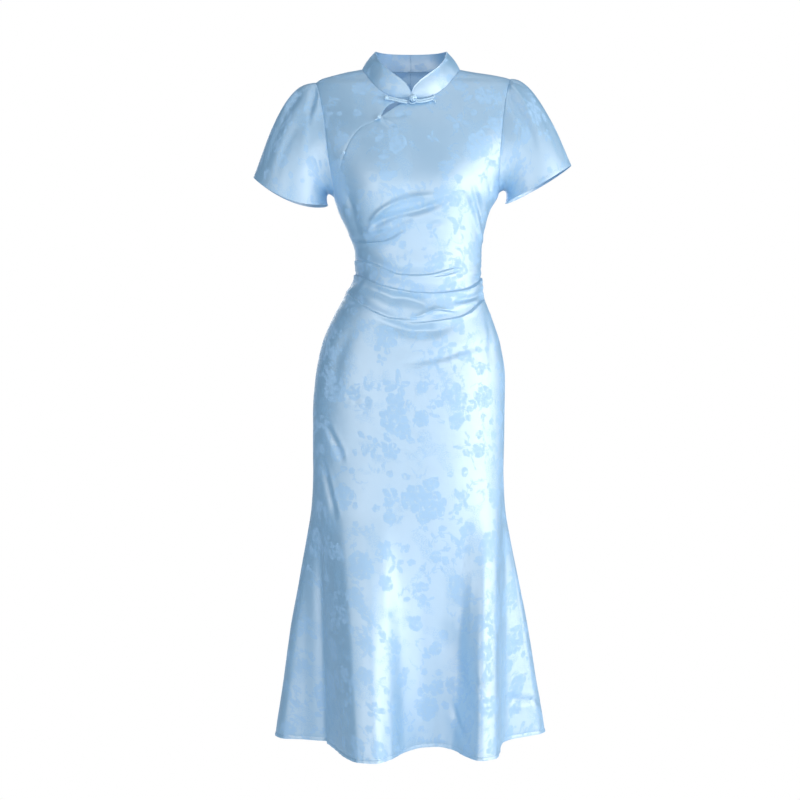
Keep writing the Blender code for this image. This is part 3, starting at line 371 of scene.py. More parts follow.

# %% [markdown]
# ## Creases
# Satin pleated into a side seam runs out of it in sharp lines that soften towards the middle. Each
# crease here is a groove along a short curve, with a low lip on both sides, which catches the light.
# Placing them one by one keeps them uneven, as cloth is, and a simulation would not put them where the
# sewing does. The back has creases of the same kind.

# %% List the creases and ridges
Fold = namedtuple("Fold", "face depth width first last lap points")
F, B = FACE_FRONT, FACE_BACK
FOLDS = [
    # pleats of the waist, from the top down
    Fold(F, 3.4, 9, 0.5, 0.1, 1, [(-100, -309), (-70, -313), (-49, -312), (-29, -305), (-17, -297),
                                  (-4, -292)]),
    Fold(F, 4.6, 12, 0.5, 0.3, 1, [(-100, -340), (-84, -344), (-66, -351), (-46, -361), (-22, -370),
                                   (8, -372), (35, -370), (55, -365), (77, -358)]),
    Fold(F, 2.4, 5, 0.1, 0.3, 1, [(35, -375), (58, -372), (81, -365)]),
    Fold(F, 6.0, 14, 0.5, 0.5, 1, [(-101, -366), (-91, -370), (-73, -380), (-49, -390), (-22, -397),
                                   (8, -402), (41, -403), (75, -399), (103, -393), (118, -383),
                                   (127, -371)]),
    Fold(F, 4.6, 10, 0.5, 0.2, 1, [(-106, -402), (-93, -416), (-80, -427), (-56, -440), (-32, -448),
                                   (-9, -450)]),
    Fold(F, 6.0, 11, 0.1, 0.5, 1, [(1, -456), (28, -454), (55, -450), (82, -445), (103, -436),
                                   (117, -423), (130, -410)]),
    Fold(F, -3.0, 5, 0.1, 0.2, 1, [(-6, -448), (14, -446), (31, -438), (46, -433), (75, -436)]),
    Fold(F, -4.6, 8, 0.2, 0.1, 0, [(-53, -452), (-22, -464), (8, -470), (35, -470), (68, -462)]),
    Fold(F, -4.4, 8, 0.1, 0.5, 0, [(-36, -407), (1, -415), (20, -423), (28, -429)]),
    Fold(F, -3.8, 5, 0.1, 0.8, 0, [(72, -417), (103, -411), (127, -400)]),
    Fold(F, -3.6, 8, 0.5, 0.1, 0, [(-78, -391), (-45, -406), (-16, -421)]),
    Fold(F, 3.0, 9, 0.2, 0.3, 1, [(-4, -529), (18, -527), (55, -520), (88, -509), (116, -501)]),
    Fold(F, 2.2, 8, 0.2, 0.0, 1, [(-116, -584), (-94, -592), (-68, -598)]),
    # drag lines of the bodice, from the pleats up over the bust
    Fold(F, 3.2, 5, 0.8, 0.0, 0, [(-74, -291), (-61, -268), (-43, -254), (-19, -244), (11, -237),
                                  (45, -234)]),
    Fold(F, -4.4, 6, 0.5, 0.1, 0, [(-72, -284), (-51, -277), (-22, -268), (11, -260), (48, -248),
                                   (63, -241)]),
    Fold(F, -2.6, 5, 0.2, 0.1, 0, [(-39, -288), (-22, -281), (1, -273)]),
    Fold(F, -1.2, 4, 0.1, 0.1, 0, [(24, -287), (40, -284), (55, -281)]),
    Fold(F, -2.4, 4, 0.5, 0.0, 0, [(-78, -303), (-56, -299), (-32, -290)]),
    Fold(F, 2.4, 4, 0.8, 0.0, 0, [(125, -300), (113, -262), (97, -219)]),
    Fold(F, -3.0, 5, 0.8, 0.0, 0, [(131, -290), (122, -252), (110, -214)]),
    Fold(F, -1.5, 4, 0.4, 0.0, 0, [(124, -259), (114, -232), (104, -205)]),
    Fold(F, -1.6, 4, 0.6, 0.0, 0, [(141, -226), (137, -207), (131, -187)]),
    Fold(F, -2.8, 11, 0.6, 0.0, 0, [(-92, -300), (-104, -262), (-112, -214)]),
    Fold(F, -1.5, 6, 0.3, 0.0, 0, [(-100, -262), (-112, -235), (-119, -205)]),
    # short lines that run from the button at the keyhole
    Fold(F, -2.4, 3.5, 0.8, 0.0, 0, [(-50, -90), (-30, -91), (-7, -88)]),
    Fold(F, -2.2, 3.5, 0.8, 0.0, 0, [(-52, -95), (-41, -104), (-27, -112)]),
    # hip and skirt
    Fold(F, -3.2, 6, 0.3, 0.0, 0, [(-150, -634), (-132, -666), (-117, -697)]),
    Fold(F, 1.4, 4, 0.3, 0.0, 0, [(-143, -632), (-124, -668), (-110, -700)]),
    Fold(F, -3.4, 7, 0.3, 0.0, 0, [(-158, -696), (-146, -745), (-133, -802)]),
    Fold(F, 1.4, 4, 0.2, 0.0, 0, [(-150, -700), (-137, -748), (-124, -800)]),
    Fold(F, -6.0, 10, 0.0, 1.0, 0, [(-166, -830), (-168, -940), (-168, -1060), (-168, -1200)]),
    Fold(F, -4.0, 18, 0.0, 0.2, 0, [(70, -975), (93, -1040), (110, -1092), (121, -1140)]),
    Fold(F, -3.4, 4, 0.1, 0.1, 0, [(120, -1064), (130, -1078), (142, -1092)]),
    Fold(F, -3.0, 5, 0.2, 0.3, 0, [(86, -1118), (100, -1150), (117, -1176)]),
    Fold(F, -4.0, 4, 0.2, 0.5, 0, [(164.3, -1116), (165.3, -1127), (166, -1137)]),
    Fold(B, -4.0, 4, 0.5, 0.1, 0, [(166, -1137), (165.6, -1144), (164.8, -1149)]),
    Fold(F, -2.0, 13, 0.3, 0.0, 0, [(-108, -470), (-130, -520), (-140, -590)]),
    Fold(F, -1.6, 8, 0.5, 0.0, 0, [(134, -440), (140, -480), (138, -530)]),
    # the back, pleated into the same side seams
    Fold(B, 3.0, 9, 0.5, 0.1, 1, [(-100, -309), (-72, -308), (-40, -292)]),
    Fold(B, 3.4, 11, 0.5, 0.3, 1, [(-100, -340), (-66, -352), (-30, -358), (-4, -354)]),
    Fold(B, 4.4, 13, 0.5, 0.6, 1, [(-101, -366), (-66, -381), (-28, -389), (0, -386)]),
    Fold(B, 3.6, 10, 0.5, 0.1, 1, [(-112, -408), (-70, -424), (-26, -424)]),
    Fold(B, -3.0, 8, 0.6, 0.2, 0, [(-108, -432), (-64, -450), (-14, -449)]),
    Fold(B, 3.2, 10, 0.5, 0.2, 1, [(124, -348), (84, -362), (44, -366), (10, -359)]),
    Fold(B, 4.6, 13, 0.5, 0.6, 1, [(127, -371), (88, -391), (44, -397), (0, -386)]),
    Fold(B, 4.2, 11, 0.5, 0.1, 1, [(130, -410), (92, -425), (50, -430), (16, -424)]),
    Fold(B, -3.0, 8, 0.6, 0.2, 0, [(136, -436), (88, -456), (20, -455)]),
    Fold(B, 2.4, 9, 0.5, 0.0, 1, [(126, -301), (98, -292), (64, -270)]),
    Fold(B, -2.2, 7, 0.5, 0.0, 0, [(128, -270), (112, -240), (100, -200)]),
    Fold(B, -2.0, 7, 0.5, 0.0, 0, [(-116, -270), (-104, -238), (-94, -196)]),
    Fold(B, 1.8, 8, 0.3, 0.0, 1, [(-152, -560), (-110, -588), (-70, -592)]),
    Fold(B, 1.8, 8, 0.3, 0.0, 1, [(150, -540), (104, -562), (60, -560)]),
    Fold(B, -2.8, 7, 0.2, 0.0, 0, [(-158, -690), (-136, -730), (-120, -775)]),
    Fold(B, -2.8, 7, 0.2, 0.0, 0, [(150, -670), (132, -710), (118, -750)]),
]
print(len(FOLDS), "creases and ridges")

# %% Work out how the creases move the cloth
MILLIMETRE = 0.001
FOLD_STEPS = 20
FOLD_END = 0.25
FOLD_REACH = 5
LIP_PLACE, LIP_WIDTH, LIP_SHARE = 2.1, 1.5, 0.22
STEP_HALF = 0.0008
LAP_LIP, LAP_LIP_WIDTH = 0.40, 0.55


def fold_path(fold):
    """Points along a fold, on the body."""
    x, z = rounded(np.array(fold.points) * MILLIMETRE, FOLD_STEPS).T
    side = np.where(x < 0, RIGHT, LEFT)
    return body(angle_at(side, fold.face, x, z), z)


FOLD_PATHS = [fold_path(fold) for fold in FOLDS]


def profile(fold, distance, above):
    """A fold's height across its line, by the distance from it and whether the place is above it."""
    depth, width = fold.depth * MILLIMETRE, fold.width * MILLIMETRE
    if fold.lap:
        signed = np.where(above, distance, -distance)
        upper = 0.5 + 0.5 * np.tanh(signed / STEP_HALF)
        lip = LAP_LIP * np.exp(-((distance / (LAP_LIP_WIDTH * width)) ** 2))
        return depth * ((1 - upper) * lip - upper * np.exp(-((distance / width) ** 2)))
    lips = np.exp(-(((distance - LIP_PLACE * width) / (LIP_WIDTH * width)) ** 2))
    return depth * (np.exp(-((distance / width) ** 2)) - LIP_SHARE * lips)


def fold_height(points):
    """How far the creases and ridges move each point out of the body."""
    shape = points.shape[:-1]
    points = points.reshape(-1, 3)
    total = np.zeros(len(points))
    for fold, path in zip(FOLDS, FOLD_PATHS):
        reach = FOLD_REACH * fold.width * MILLIMETRE
        close = np.all((points > path.min(axis=0) - reach) & (points < path.max(axis=0) + reach), axis=1)
        near = points[close]
        nearest = np.full(len(near), np.inf)
        place = np.zeros(len(near))
        above = np.zeros(len(near), bool)
        for i in range(FOLD_STEPS):
            start, run = path[i], path[i + 1] - path[i]
            t = np.clip((near - start) @ run / (run @ run), 0, 1)
            offset = near - start - t[:, None] * run
            distance = np.linalg.norm(offset, axis=1)
            closer = distance < nearest
            nearest = np.where(closer, distance, nearest)
            place = np.where(closer, (i + t) / FOLD_STEPS, place)
            above = np.where(closer, offset[:, 2] > 0, above)
        strength = np.interp(place, [0, FOLD_END, 1 - FOLD_END, 1], [fold.first, 1, 1, fold.last])
        total[close] += strength * profile(fold, nearest, above)
    return total.reshape(shape)


print("deepest crease:", max(abs(fold.depth) for fold in FOLDS), "millimetres")

# %% [markdown]
# ## A soft, uneven surface and a turned hem
# Satin is never quite smooth: it swells and sinks by half a millimetre over a few centimetres, and its
# bright bands waver there. Smooth noise does that. The hem is turned up and sewn, so a narrow band
# at the edge is a little thicker, and puckers between the stitches.

# %% Outer and inner face of the cloth
SWELLS = ((0.00060, 15.0), (0.00014, 55.0))
GATHER_Z, GATHER_HEIGHT, GATHER_REACH, GATHER_DEPTH = -0.37, 0.06, 0.22, 0.0022
GATHER_SCALE = (16, 16, 120)
HEM_BAND = 0.006
HEM_THICK = 0.0005
BAND_STEP = 0.0006
HEM_GROOVE, GROOVE_WIDTH = 1.4, 0.0012
PUCKER = 0.00055
PUCKER_LENGTH = 0.017
PUCKER_RISE = 0.012
PUCKER_DRIFT, PUCKER_DRIFTS = 2.1, 7
HEM_RADIUS = 0.22


def swell(points):
    """Soft unevenness of the cloth, by place."""
    flat = points.reshape(-1, 3)
    total = np.zeros(len(flat))
    for depth, scale in SWELLS:
        total += depth * np.array([noise.noise(Vector(p) * scale) for p in flat])
    return total.reshape(points.shape[:-1])


def gathered(angle, points):
    """Fine pleats that run a little way out of the side seams at the waist."""
    z = points[..., 2]
    at_waist = np.exp(-(((z - GATHER_Z) / GATHER_HEIGHT) ** 2))
    from_seam = np.abs(np.abs(np.sin(angle / 2)) - math.sqrt(0.5)) / GATHER_REACH
    strength = GATHER_DEPTH * at_waist * np.exp(-(from_seam**2))
    total = np.zeros(z.size)
    places = np.flatnonzero(strength.ravel() > GATHER_DEPTH / 50)
    flat = points.reshape(-1, 3)[places] * np.array(GATHER_SCALE)
    total[places] = [noise.noise(Vector(place)) for place in flat]
    return strength * total.reshape(z.shape)


def step_down(value, place, width):
    """1 below a place and 0 above it, with a soft step between."""
    return 0.5 - 0.5 * np.tanh((value - place) / (2 * width))


def hem_height(angle, z):
    """The thicker band along the hem, and the puckers above its stitches."""
    rise = z - HEM_Z
    band = HEM_THICK * step_down(rise, HEM_BAND, BAND_STEP)
    groove = -HEM_GROOVE * HEM_THICK * np.exp(-(((rise - HEM_BAND) / GROOVE_WIDTH) ** 2))
    drift = PUCKER_DRIFT * np.sin(PUCKER_DRIFTS * angle)
    wave = np.sin(angle * HEM_RADIUS / PUCKER_LENGTH * 2 * np.pi + drift)
    pucker = PUCKER * wave * np.exp(-(((rise - HEM_BAND) / PUCKER_RISE) ** 2))
    return band + groove + pucker


def cloth(angle, z):
    """Outer and inner points of the cloth, and the direction straight out of it."""
    points = body(angle, z)
    out = outward(angle, z)
    height = fold_height(points) + swell(points) + gathered(angle, points) + hem_height(angle, z)
    outer = points + out * height[..., None]
    return outer, outer - WALL * out, out


# %% [markdown]
# ## Cloth laid flat
# The woven pattern needs to know where on the flat cloth each point was cut. The length round the
# body from the middle of the front gives one direction, and the length along it from the waist the
# other. On the back the first is measured from the centre back seam, so the cloth lies straight there
# too. A fine table of both is quick to look up.

# %% Places on the flat cloth
FLAT_ROWS = 260
FLAT_TURNS = 241
FLAT_START = -0.30
FLAT_LOW, FLAT_BEND, FLAT_TOP = -1.25, -0.03, 0.03
FLAT_TOP_ROWS = 60
BACK_CLOTH = (2.5, 0, 0)


def flat_tables():
    """Lengths round and along the body for a grid of angles and heights."""
    turns = np.linspace(-np.pi, np.pi, FLAT_TURNS)
    low = np.linspace(FLAT_LOW, FLAT_BEND, FLAT_ROWS)[:-1]
    heights = np.concatenate([low, np.linspace(FLAT_BEND, FLAT_TOP, FLAT_TOP_ROWS)])
    grid = body(turns[None, :], heights[:, None])
    across = np.linalg.norm(np.diff(grid, axis=1), axis=2)
    across = np.concatenate([np.zeros((len(heights), 1)), np.cumsum(across, axis=1)], axis=1)
    across -= across[:, FLAT_TURNS // 2][:, None]
    along = np.linalg.norm(np.diff(grid, axis=0), axis=2)
    along = np.concatenate([np.zeros((1, FLAT_TURNS)), np.cumsum(along, axis=0)], axis=0)
    start = np.searchsorted(heights, FLAT_START)
    return turns, heights, across, along - along[start][None]


FLAT = flat_tables()


def laid_flat(angle, z):
    """Where a place of the body lies on the flat cloth, in metres."""
    turns, heights, across, along = FLAT
    i = np.clip(np.searchsorted(heights, z) - 1, 0, len(heights) - 2)
    j = np.clip(np.searchsorted(turns, angle) - 1, 0, len(turns) - 2)
    s = np.clip((z - heights[i]) / (heights[i + 1] - heights[i]), 0, 1)
    t = np.clip((angle - turns[j]) / (turns[j + 1] - turns[j]), 0, 1)
    result = []
    for table in (across, along):
        low = table[i, j] * (1 - t) + table[i, j + 1] * t
        high = table[i + 1, j] * (1 - t) + table[i + 1, j + 1] * t
        result.append(low * (1 - s) + high * s)
    return np.stack([result[0], result[1], np.zeros_like(result[0])], axis=-1)


def laid_flat_back(angle, z):
    """The same for a back, measured from the centre back seam on another stretch of the cloth."""
    centre = np.full_like(z, np.sign(np.mean(angle)) * np.pi)
    return laid_flat(angle, z) - laid_flat(centre, z) * (1, 0, 0) + BACK_CLOTH


print("half the hem's length:", round(float(FLAT[2][4, -1]), 3), "metres")

# %% [markdown]
# ## Edges of the panels
# The pattern cutter's lines: shoulders, armholes, neck, the curved placket and the keyhole that it
# leaves open at the top. They are given by x and height on the front or the back, because that is how
# they are seen.

# %% Lines where the panels are cut
NeckPoint = namedtuple("NeckPoint", "x z")
NECK_FRONT = [
    NeckPoint(0.000, -0.0580),
    NeckPoint(0.030, -0.0535),
    NeckPoint(0.045, -0.0465),
    NeckPoint(0.060, -0.0345),
    NeckPoint(0.075, -0.0155),
    NeckPoint(NECK_SIDE_X, NECK_SIDE_Z),
]
ArmholePoint = namedtuple("ArmholePoint", "z right_front right_back left_front left_back")
ARMHOLE = [
    ArmholePoint(*row)
    for row in (
        (-0.050, 0.1620, 0.1640, 0.1690, 0.1710), (-0.095, 0.1545, 0.1580, 0.1625, 0.1660),
        (-0.145, 0.1490, 0.1530, 0.1580, 0.1610), (-0.190, 0.1430, 0.1445, 0.1560, 0.1575),
        (-0.213, 0.1388, 0.1394, 0.1568, 0.1575),
    )
]
PlacketPoint = namedtuple("PlacketPoint", "x z")
PLACKET = [
    PlacketPoint(*row)
    for row in (
        (-0.1320, -0.2249), (-0.1297, -0.2001), (-0.1240, -0.1750), (-0.1150, -0.1493),
        (-0.1043, -0.1289), (-0.0867, -0.1097), (-0.0673, -0.1011), (-0.0533, -0.0907),
    )
]
KEYHOLE_YOKE = [
    PlacketPoint(*row)
    for row in (
        (-0.0480, -0.0785), (-0.0410, -0.0700), (-0.0310, -0.0640), (-0.0220, -0.0602),
    )
]
KEYHOLE_FRONT = [PlacketPoint(-0.0110, -0.0622)]
print(len(ARMHOLE), "measured heights of each armhole,", len(PLACKET), "places on the placket")

# %% Work out the cut lines
YOKE_TIP_TURN = np.pi / 18
SAMPLES = 400
SHOULDER_STEPS = 26
NECK_FRONT_STEPS = 36
NECK_BACK_STEPS = 24
PLACKET_STEPS = 44
KEYHOLE_STEPS = 24
ARMHOLE_STEPS = 44


def shoulder_height(side, x):
    """The height of the ridge of the shoulder, x out from the middle."""
    z = np.linspace(SHOULDER_LOW_Z, NECK_BACK_Z, SAMPLES)
    return np.interp(-x, -HALVES[side](z), z)


def shoulder(side):
    """The shoulder's ridge, from the side of the neck to the tip, as angles and heights."""
    x = np.linspace(NECK_SIDE_X, SHOULDER_TIP_X[side], SHOULDER_STEPS + 1)
    z = shoulder_height(side, x)
    return np.full(len(z), side * np.pi / 2), z


def neck_front(side, first_turn=0.0):
    """The front edge of the neck, from the centre, or a turn on from it, to the side."""
    x = NECK_SIDE_X * np.sin(np.linspace(first_turn, np.pi / 2, NECK_FRONT_STEPS + 1))
    z = column(NECK_FRONT, "x", "z")(x)
    return angle_at(side, FACE_FRONT, x, z), z


def neck_back(side):
    """The back edge of the neck, from the side to the centre back."""
    turn = np.linspace(np.pi / 2, np.pi, NECK_BACK_STEPS + 1)
    z = NECK_SIDE_Z + (NECK_BACK_Z - NECK_SIDE_Z) * np.abs(np.cos(turn)) ** NECK_BACK_ROUND
    return side * turn, z


def armhole(side, face):
    """One half of an armhole's seam, from the underarm up to the shoulder tip."""
    low, high = UNDERARM_Z[side], float(shoulder_height(side, SHOULDER_TIP_X[side]))
    name = ("left_" if side == LEFT else "right_") + ("front" if face == FACE_FRONT else "back")
    rows = [(row.z, row[ArmholePoint._fields.index(name)]) for row in ARMHOLE]
    rows = sorted(rows + [(low, float(HALVES[side](low))), (high, SHOULDER_TIP_X[side])])
    z = low + (high - low) * (1 - np.cos(np.linspace(0, np.pi, ARMHOLE_STEPS + 1))) / 2
    x = smooth([row[0] for row in rows], [row[1] for row in rows])(z)
    return angle_at(side, face, x, z), z


def placket(keyhole, end):
    """The placket's seam from the side seam to the keyhole, and an edge of the keyhole to its end."""
    low_z = BODICE_Z - ARMPIT_SLOPE
    seam = rounded([(-float(RIGHT_HALF(low_z)), low_z)] + PLACKET, PLACKET_STEPS)
    hole = rounded([PLACKET[-1]] + keyhole + [end], KEYHOLE_STEPS)
    x, z = np.concatenate([seam, hole[1:]]).T
    return angle_at(RIGHT, FACE_FRONT, x, z), z


def joined(*edges):
    """Edges that follow one another, as one edge."""
    angle = np.concatenate([edges[0][0]] + [edge[0][1:] for edge in edges[1:]])
    z = np.concatenate([edges[0][1]] + [edge[1][1:] for edge in edges[1:]])
    return angle, z


def flipped(edge):
    """The same edge from its other end."""
    return edge[0][::-1], edge[1][::-1]


print("armhole seam points:", 2 * ARMHOLE_STEPS)

# %% [markdown]
# ## Filling a panel
# Below the armpits a plain grid of rows and columns is enough, with rows closest at the pleated waist.
# Above them a panel has curved edges on all sides, so its outline is filled with triangles of even
# size. They are worked out on a flat chart of the upper body, where no two places coincide.

# %% A grid below the armpits
EDGE_INSET = 0.0022
MEAN_RADIUS = 0.13
FRONT_COLUMNS = 128
BACK_COLUMNS = 66
ROW_STEPS = [
    (HEM_Z + 0.020, FLARE_Z, 74),
    (FLARE_Z, HIP_Z, 48),
    (HIP_Z, WAIST_TOP_Z, 128),
    (WAIST_TOP_Z, BODICE_Z, 36),
]
HEM_RISES = (0.0, 0.002, 0.004, 0.0052, 0.0060, 0.0070, 0.009, 0.013)


def low_heights():
    """Heights of the rows from the hem to the armpits."""
    rows = [np.linspace(low, high, steps + 1)[:-1] for low, high, steps in ROW_STEPS]
    return np.concatenate([HEM_Z + np.array(HEM_RISES)] + rows + [[BODICE_Z]])


def low_grid(start, stop, columns):
    """Angles, heights and faces of a panel from the hem to the armpits."""
    inset = EDGE_INSET / MEAN_RADIUS * np.sign(stop - start)
    angles = np.concatenate([[start], np.linspace(start + inset, stop - inset, columns - 1), [stop]])
    z = low_heights()[:, None]
    fade = np.clip((z - WAIST_TOP_Z) / (BODICE_Z - WAIST_TOP_Z), 0, 1) ** 2
    angle = np.broadcast_to(angles, (len(z), len(angles)))
    height = z + ARMPIT_SLOPE * fade * np.sin(angle)
    count = len(angles)
    corner = (np.arange(len(z) - 1)[:, None] * count + np.arange(count - 1)[None]).ravel()
    faces = np.stack([corner, corner + 1, corner + 1 + count, corner + count], axis=1)
    return angle, height, [tuple(face) for face in faces.tolist()]


print("rows below the armpits:", len(low_heights()))

# %% Fill the curved outlines above
CHART_Z = -0.300
UPPER_HALF = 0.170
UPPER_OVERLAP = 0.020
FIRST_PLACE = 0.7
SPACING = 0.0034
FINE_SPACING = 0.0020
FINE_BAND = (0.0013, 0.0034)
COARSE_START = 0.0044
RIM_PARTS = 8
KEEP_INSIDE, CLOSE = 1, 1e-9


def chart(angle, z):
    """The body's upper part laid out flat, as seen from its middle towards the neck."""
    ray = unit(plain_body(angle, z) - np.array([0, 0, CHART_Z]))
    return ray[..., :2] / (1 + ray[..., 2:])


def profile_places(face, spacing):
    """Places spread evenly over one face of the upper body."""
    angles, heights = [], []
    for x in np.arange(-UPPER_HALF, UPPER_HALF + spacing / 2, spacing):
        side = RIGHT if x < 0 else LEFT
        top = float(shoulder_height(side, abs(x)))
        z = top - (top - BODICE_Z + UPPER_OVERLAP) * np.linspace(0, 1, SAMPLES) ** 2
        angle = angle_at(side, face, x, z)
        points = plain_body(angle, z)
        length = lengths_along(points)
        at = np.arange(spacing * FIRST_PLACE, length[-1], spacing)
        angles.append(np.interp(at, length, angle))
        heights.append(np.interp(at, length, z))
    return np.concatenate(angles), np.concatenate(heights)


def is_inside(places, outline):
    """Which places of the chart lie inside an outline."""
    inside = np.zeros(len(places), bool)
    for (x1, y1), (x2, y2) in zip(outline, np.roll(outline, -1, axis=0)):
        crosses = (y1 > places[:, 1]) != (y2 > places[:, 1])
        rise = (y2 - y1) if y2 != y1 else 1.0
        inside ^= crosses & (places[:, 0] < x1 + (places[:, 1] - y1) * (x2 - x1) / rise)
    return inside


def close_to(points, rim):
    """The distance from each point to the nearest of a rim's points."""
    tree = KDTree(len(rim))
    for i, place in enumerate(rim):
        tree.insert(place, i)
    tree.balance()
    return np.array([tree.find(point)[2] for point in points])


def filled(outline, face):
    """Angles, heights and triangles that fill an outline; its own places come first."""
    edge = chart(*outline)
    ends = plain_body(*outline)
    share = np.linspace(0, 1, RIM_PARTS, endpoint=False)[:, None, None]
    rim = (ends * (1 - share) + np.roll(ends, -1, axis=0) * share).reshape(-1, 3)
    angles, heights = [outline[0]], [outline[1]]
    for spacing, nearest, furthest in ((SPACING, COARSE_START, 1.0), (FINE_SPACING, *FINE_BAND)):
        angle, z = profile_places(face, spacing)
        inside = is_inside(chart(angle, z), edge)
        angle, z = angle[inside], z[inside]
        away = close_to(plain_body(angle, z), rim)
        keep = (away > nearest) & (away < furthest)
        angles.append(angle[keep])
        heights.append(z[keep])
    angle, z = np.concatenate(angles), np.concatenate(heights)
    count = len(edge)
    places = [Vector(place) for place in chart(angle, z)]
    sides = [(i, (i + 1) % count) for i in range(count)]
    made = delaunay_2d_cdt(places, sides, [], KEEP_INSIDE, CLOSE)
    first = [ids[0] for ids in made[3]]
    return angle, z, [tuple(first[i] for i in points) for points in made[2]]


def welded(low, high, row):
    """A lower grid and an upper filling whose first places are the grid's last row."""
    angle = np.concatenate([low[0].ravel(), high[0][row:]])
    z = np.concatenate([low[1].ravel(), high[1][row:]])
    shift = low[0].size - row
    return angle, z, low[2] + [tuple(shift + i for i in triangle) for triangle in high[2]]


print("places on one face of the upper body:", len(profile_places(FACE_FRONT, SPACING)[0]))

# %% [markdown]
# ## Panels with thickness and seams
# A panel is an outer face, an inner face one wall further in, and a rim that joins them. Where two
# panels are sewn together the seam pulls both edges in, and that small valley is what the eye reads as
# a seam. So the points on a seamed edge are sunk a little, and the hem's edge is not.

# %% Make a panel
SEAM_SINK = 0.0010
PLACKET_SINK = 0.0005
SHARP_TURN = math.radians(50)
HEM_CLOSE = 1e-6
pieces = {}


def border(faces):
    """The edges of a sheet that only one face has, in the face's order."""
    once = {}
    for face in faces:
        for a, b in zip(face, face[1:] + face[:1]):
            if (b, a) in once:
                del once[(b, a)]
            else:
                once[(a, b)] = True
    return list(once)


def cloth_object(name, points, faces, flat):
    """An object from points and faces that carries its places on the flat cloth."""
    mesh = bpy.data.meshes.new(name)
    mesh.from_pydata(points.tolist(), [], faces)
    attribute = mesh.attributes.new("flat_cloth", "FLOAT_VECTOR", "POINT")
    attribute.data.foreach_set("vector", np.asarray(flat, np.float32).ravel())
    made = bpy.data.objects.new(name, mesh)
    bpy.context.scene.collection.objects.link(made)
    work = bmesh.new()
    work.from_mesh(mesh)
    bmesh.ops.recalc_face_normals(work, faces=work.faces[:])
    work.to_mesh(mesh)
    work.free()
    mesh.shade_smooth()
    mesh.set_sharp_from_angle(angle=SHARP_TURN)
    pieces[name] = made


def panel(name, sheet, sink):
    """A panel of the body, with a wall's thickness, its seamed edges drawn in."""
    angle, z, faces = sheet
    outer, inner, out = cloth(angle, z)
    turned = []
    for face in faces:
        a, b, c = face[:3]
        way = np.cross(outer[b] - outer[a], outer[c] - outer[a]) @ out[a]
        turned.append(face if way > 0 else face[::-1])
    edges = border(turned)
    at_hem = z < HEM_Z + HEM_CLOSE
    moved = np.zeros_like(outer)
    for a, b in edges:
        if not (at_hem[a] and at_hem[b]):
            run = outer[b] - outer[a]
            for i in (a, b):
                moved[i] += unit(np.cross(out[i], run)) * SEAM_GAP / 4
    seamed = np.linalg.norm(moved, axis=1) > 0
    outer, inner = outer + moved, inner + moved
    outer[seamed] -= out[seamed] * sink
    count = len(outer)
    walls = turned + [tuple(count + i for i in face[::-1]) for face in turned]
    walls += [(b, a, count + a, count + b) for a, b in edges]
    is_back = np.mean(np.abs(angle)) > np.pi / 2
    flat = laid_flat_back(angle, z) if is_back else laid_flat(angle, z)
    cloth_object(name, np.concatenate([outer, inner]), walls, np.concatenate([flat, flat]))
    print(name, "faces:", len(walls))


# %% [markdown]
# ## Front, yoke and backs
# The front is one cloth from the wearer's left shoulder to the hem. The yoke closes the wearer's right
# shoulder and ends in a narrow tail at the side seam. The back has a seam down its middle.

# %% Cut the four body panels


def front_sheet():
    """The main front, with the placket as its edge on the wearer's right."""
    low = low_grid(-np.pi / 2, np.pi / 2, FRONT_COLUMNS)
    row = low[0][-1], low[1][-1]
    outline = joined(
        row,
        armhole(LEFT, FACE_FRONT),
        flipped(shoulder(LEFT)),
        flipped(neck_front(LEFT)),
        flipped(placket(KEYHOLE_FRONT, (0.0, NECK_FRONT[0].z))),
    )
    outline = outline[0][:-1], outline[1][:-1]
    return welded(low, filled(outline, FACE_FRONT), len(row[0]))


def yoke_sheet():
    """The wearer's right upper front, with a short end on the side seam."""
    neck = neck_front(RIGHT, YOKE_TIP_TURN)
    tip = (-NECK_SIDE_X * np.sin(YOKE_TIP_TURN), neck[1][0])
    outline = joined(
        placket(KEYHOLE_YOKE, tip),
        neck,
        shoulder(RIGHT),
        flipped(armhole(RIGHT, FACE_FRONT)),
    )
    return filled(outline, FACE_FRONT)


def back_sheet(side):
    """One half of the back, from the side seam to the centre back seam."""
    low = low_grid(side * np.pi / 2, side * np.pi, BACK_COLUMNS)
    row = low[0][-1], low[1][-1]
    steps = 2 * ARMHOLE_STEPS
    centre_z = np.linspace(row[1][-1], NECK_BACK_Z, steps + 1)
    outline = joined(
        row,
        (np.full(steps + 1, side * np.pi), centre_z),
        flipped(neck_back(side)),
        shoulder(side),
        flipped(armhole(side, FACE_BACK)),
    )
    if side == LEFT:
        outline = outline[0][:-1], outline[1][:-1]
    return welded(low, filled(outline, FACE_BACK), len(row[0]))


panel("front_satin", front_sheet(), PLACKET_SINK)
panel("front_yoke_satin", yoke_sheet(), PLACKET_SINK)
panel("back_right_satin", back_sheet(RIGHT), SEAM_SINK)
panel("back_left_satin", back_sheet(LEFT), SEAM_SINK)

# %% [markdown]
# ## Sleeves
# A short sleeve is set into the armhole with its cap gathered at the top, so it stands up there in a
# small puff and falls straight to a turned cuff. Each line from the seam to the cuff is a smooth curve
# that leaves the armhole outwards, and the gathers are grooves laid over the tube.

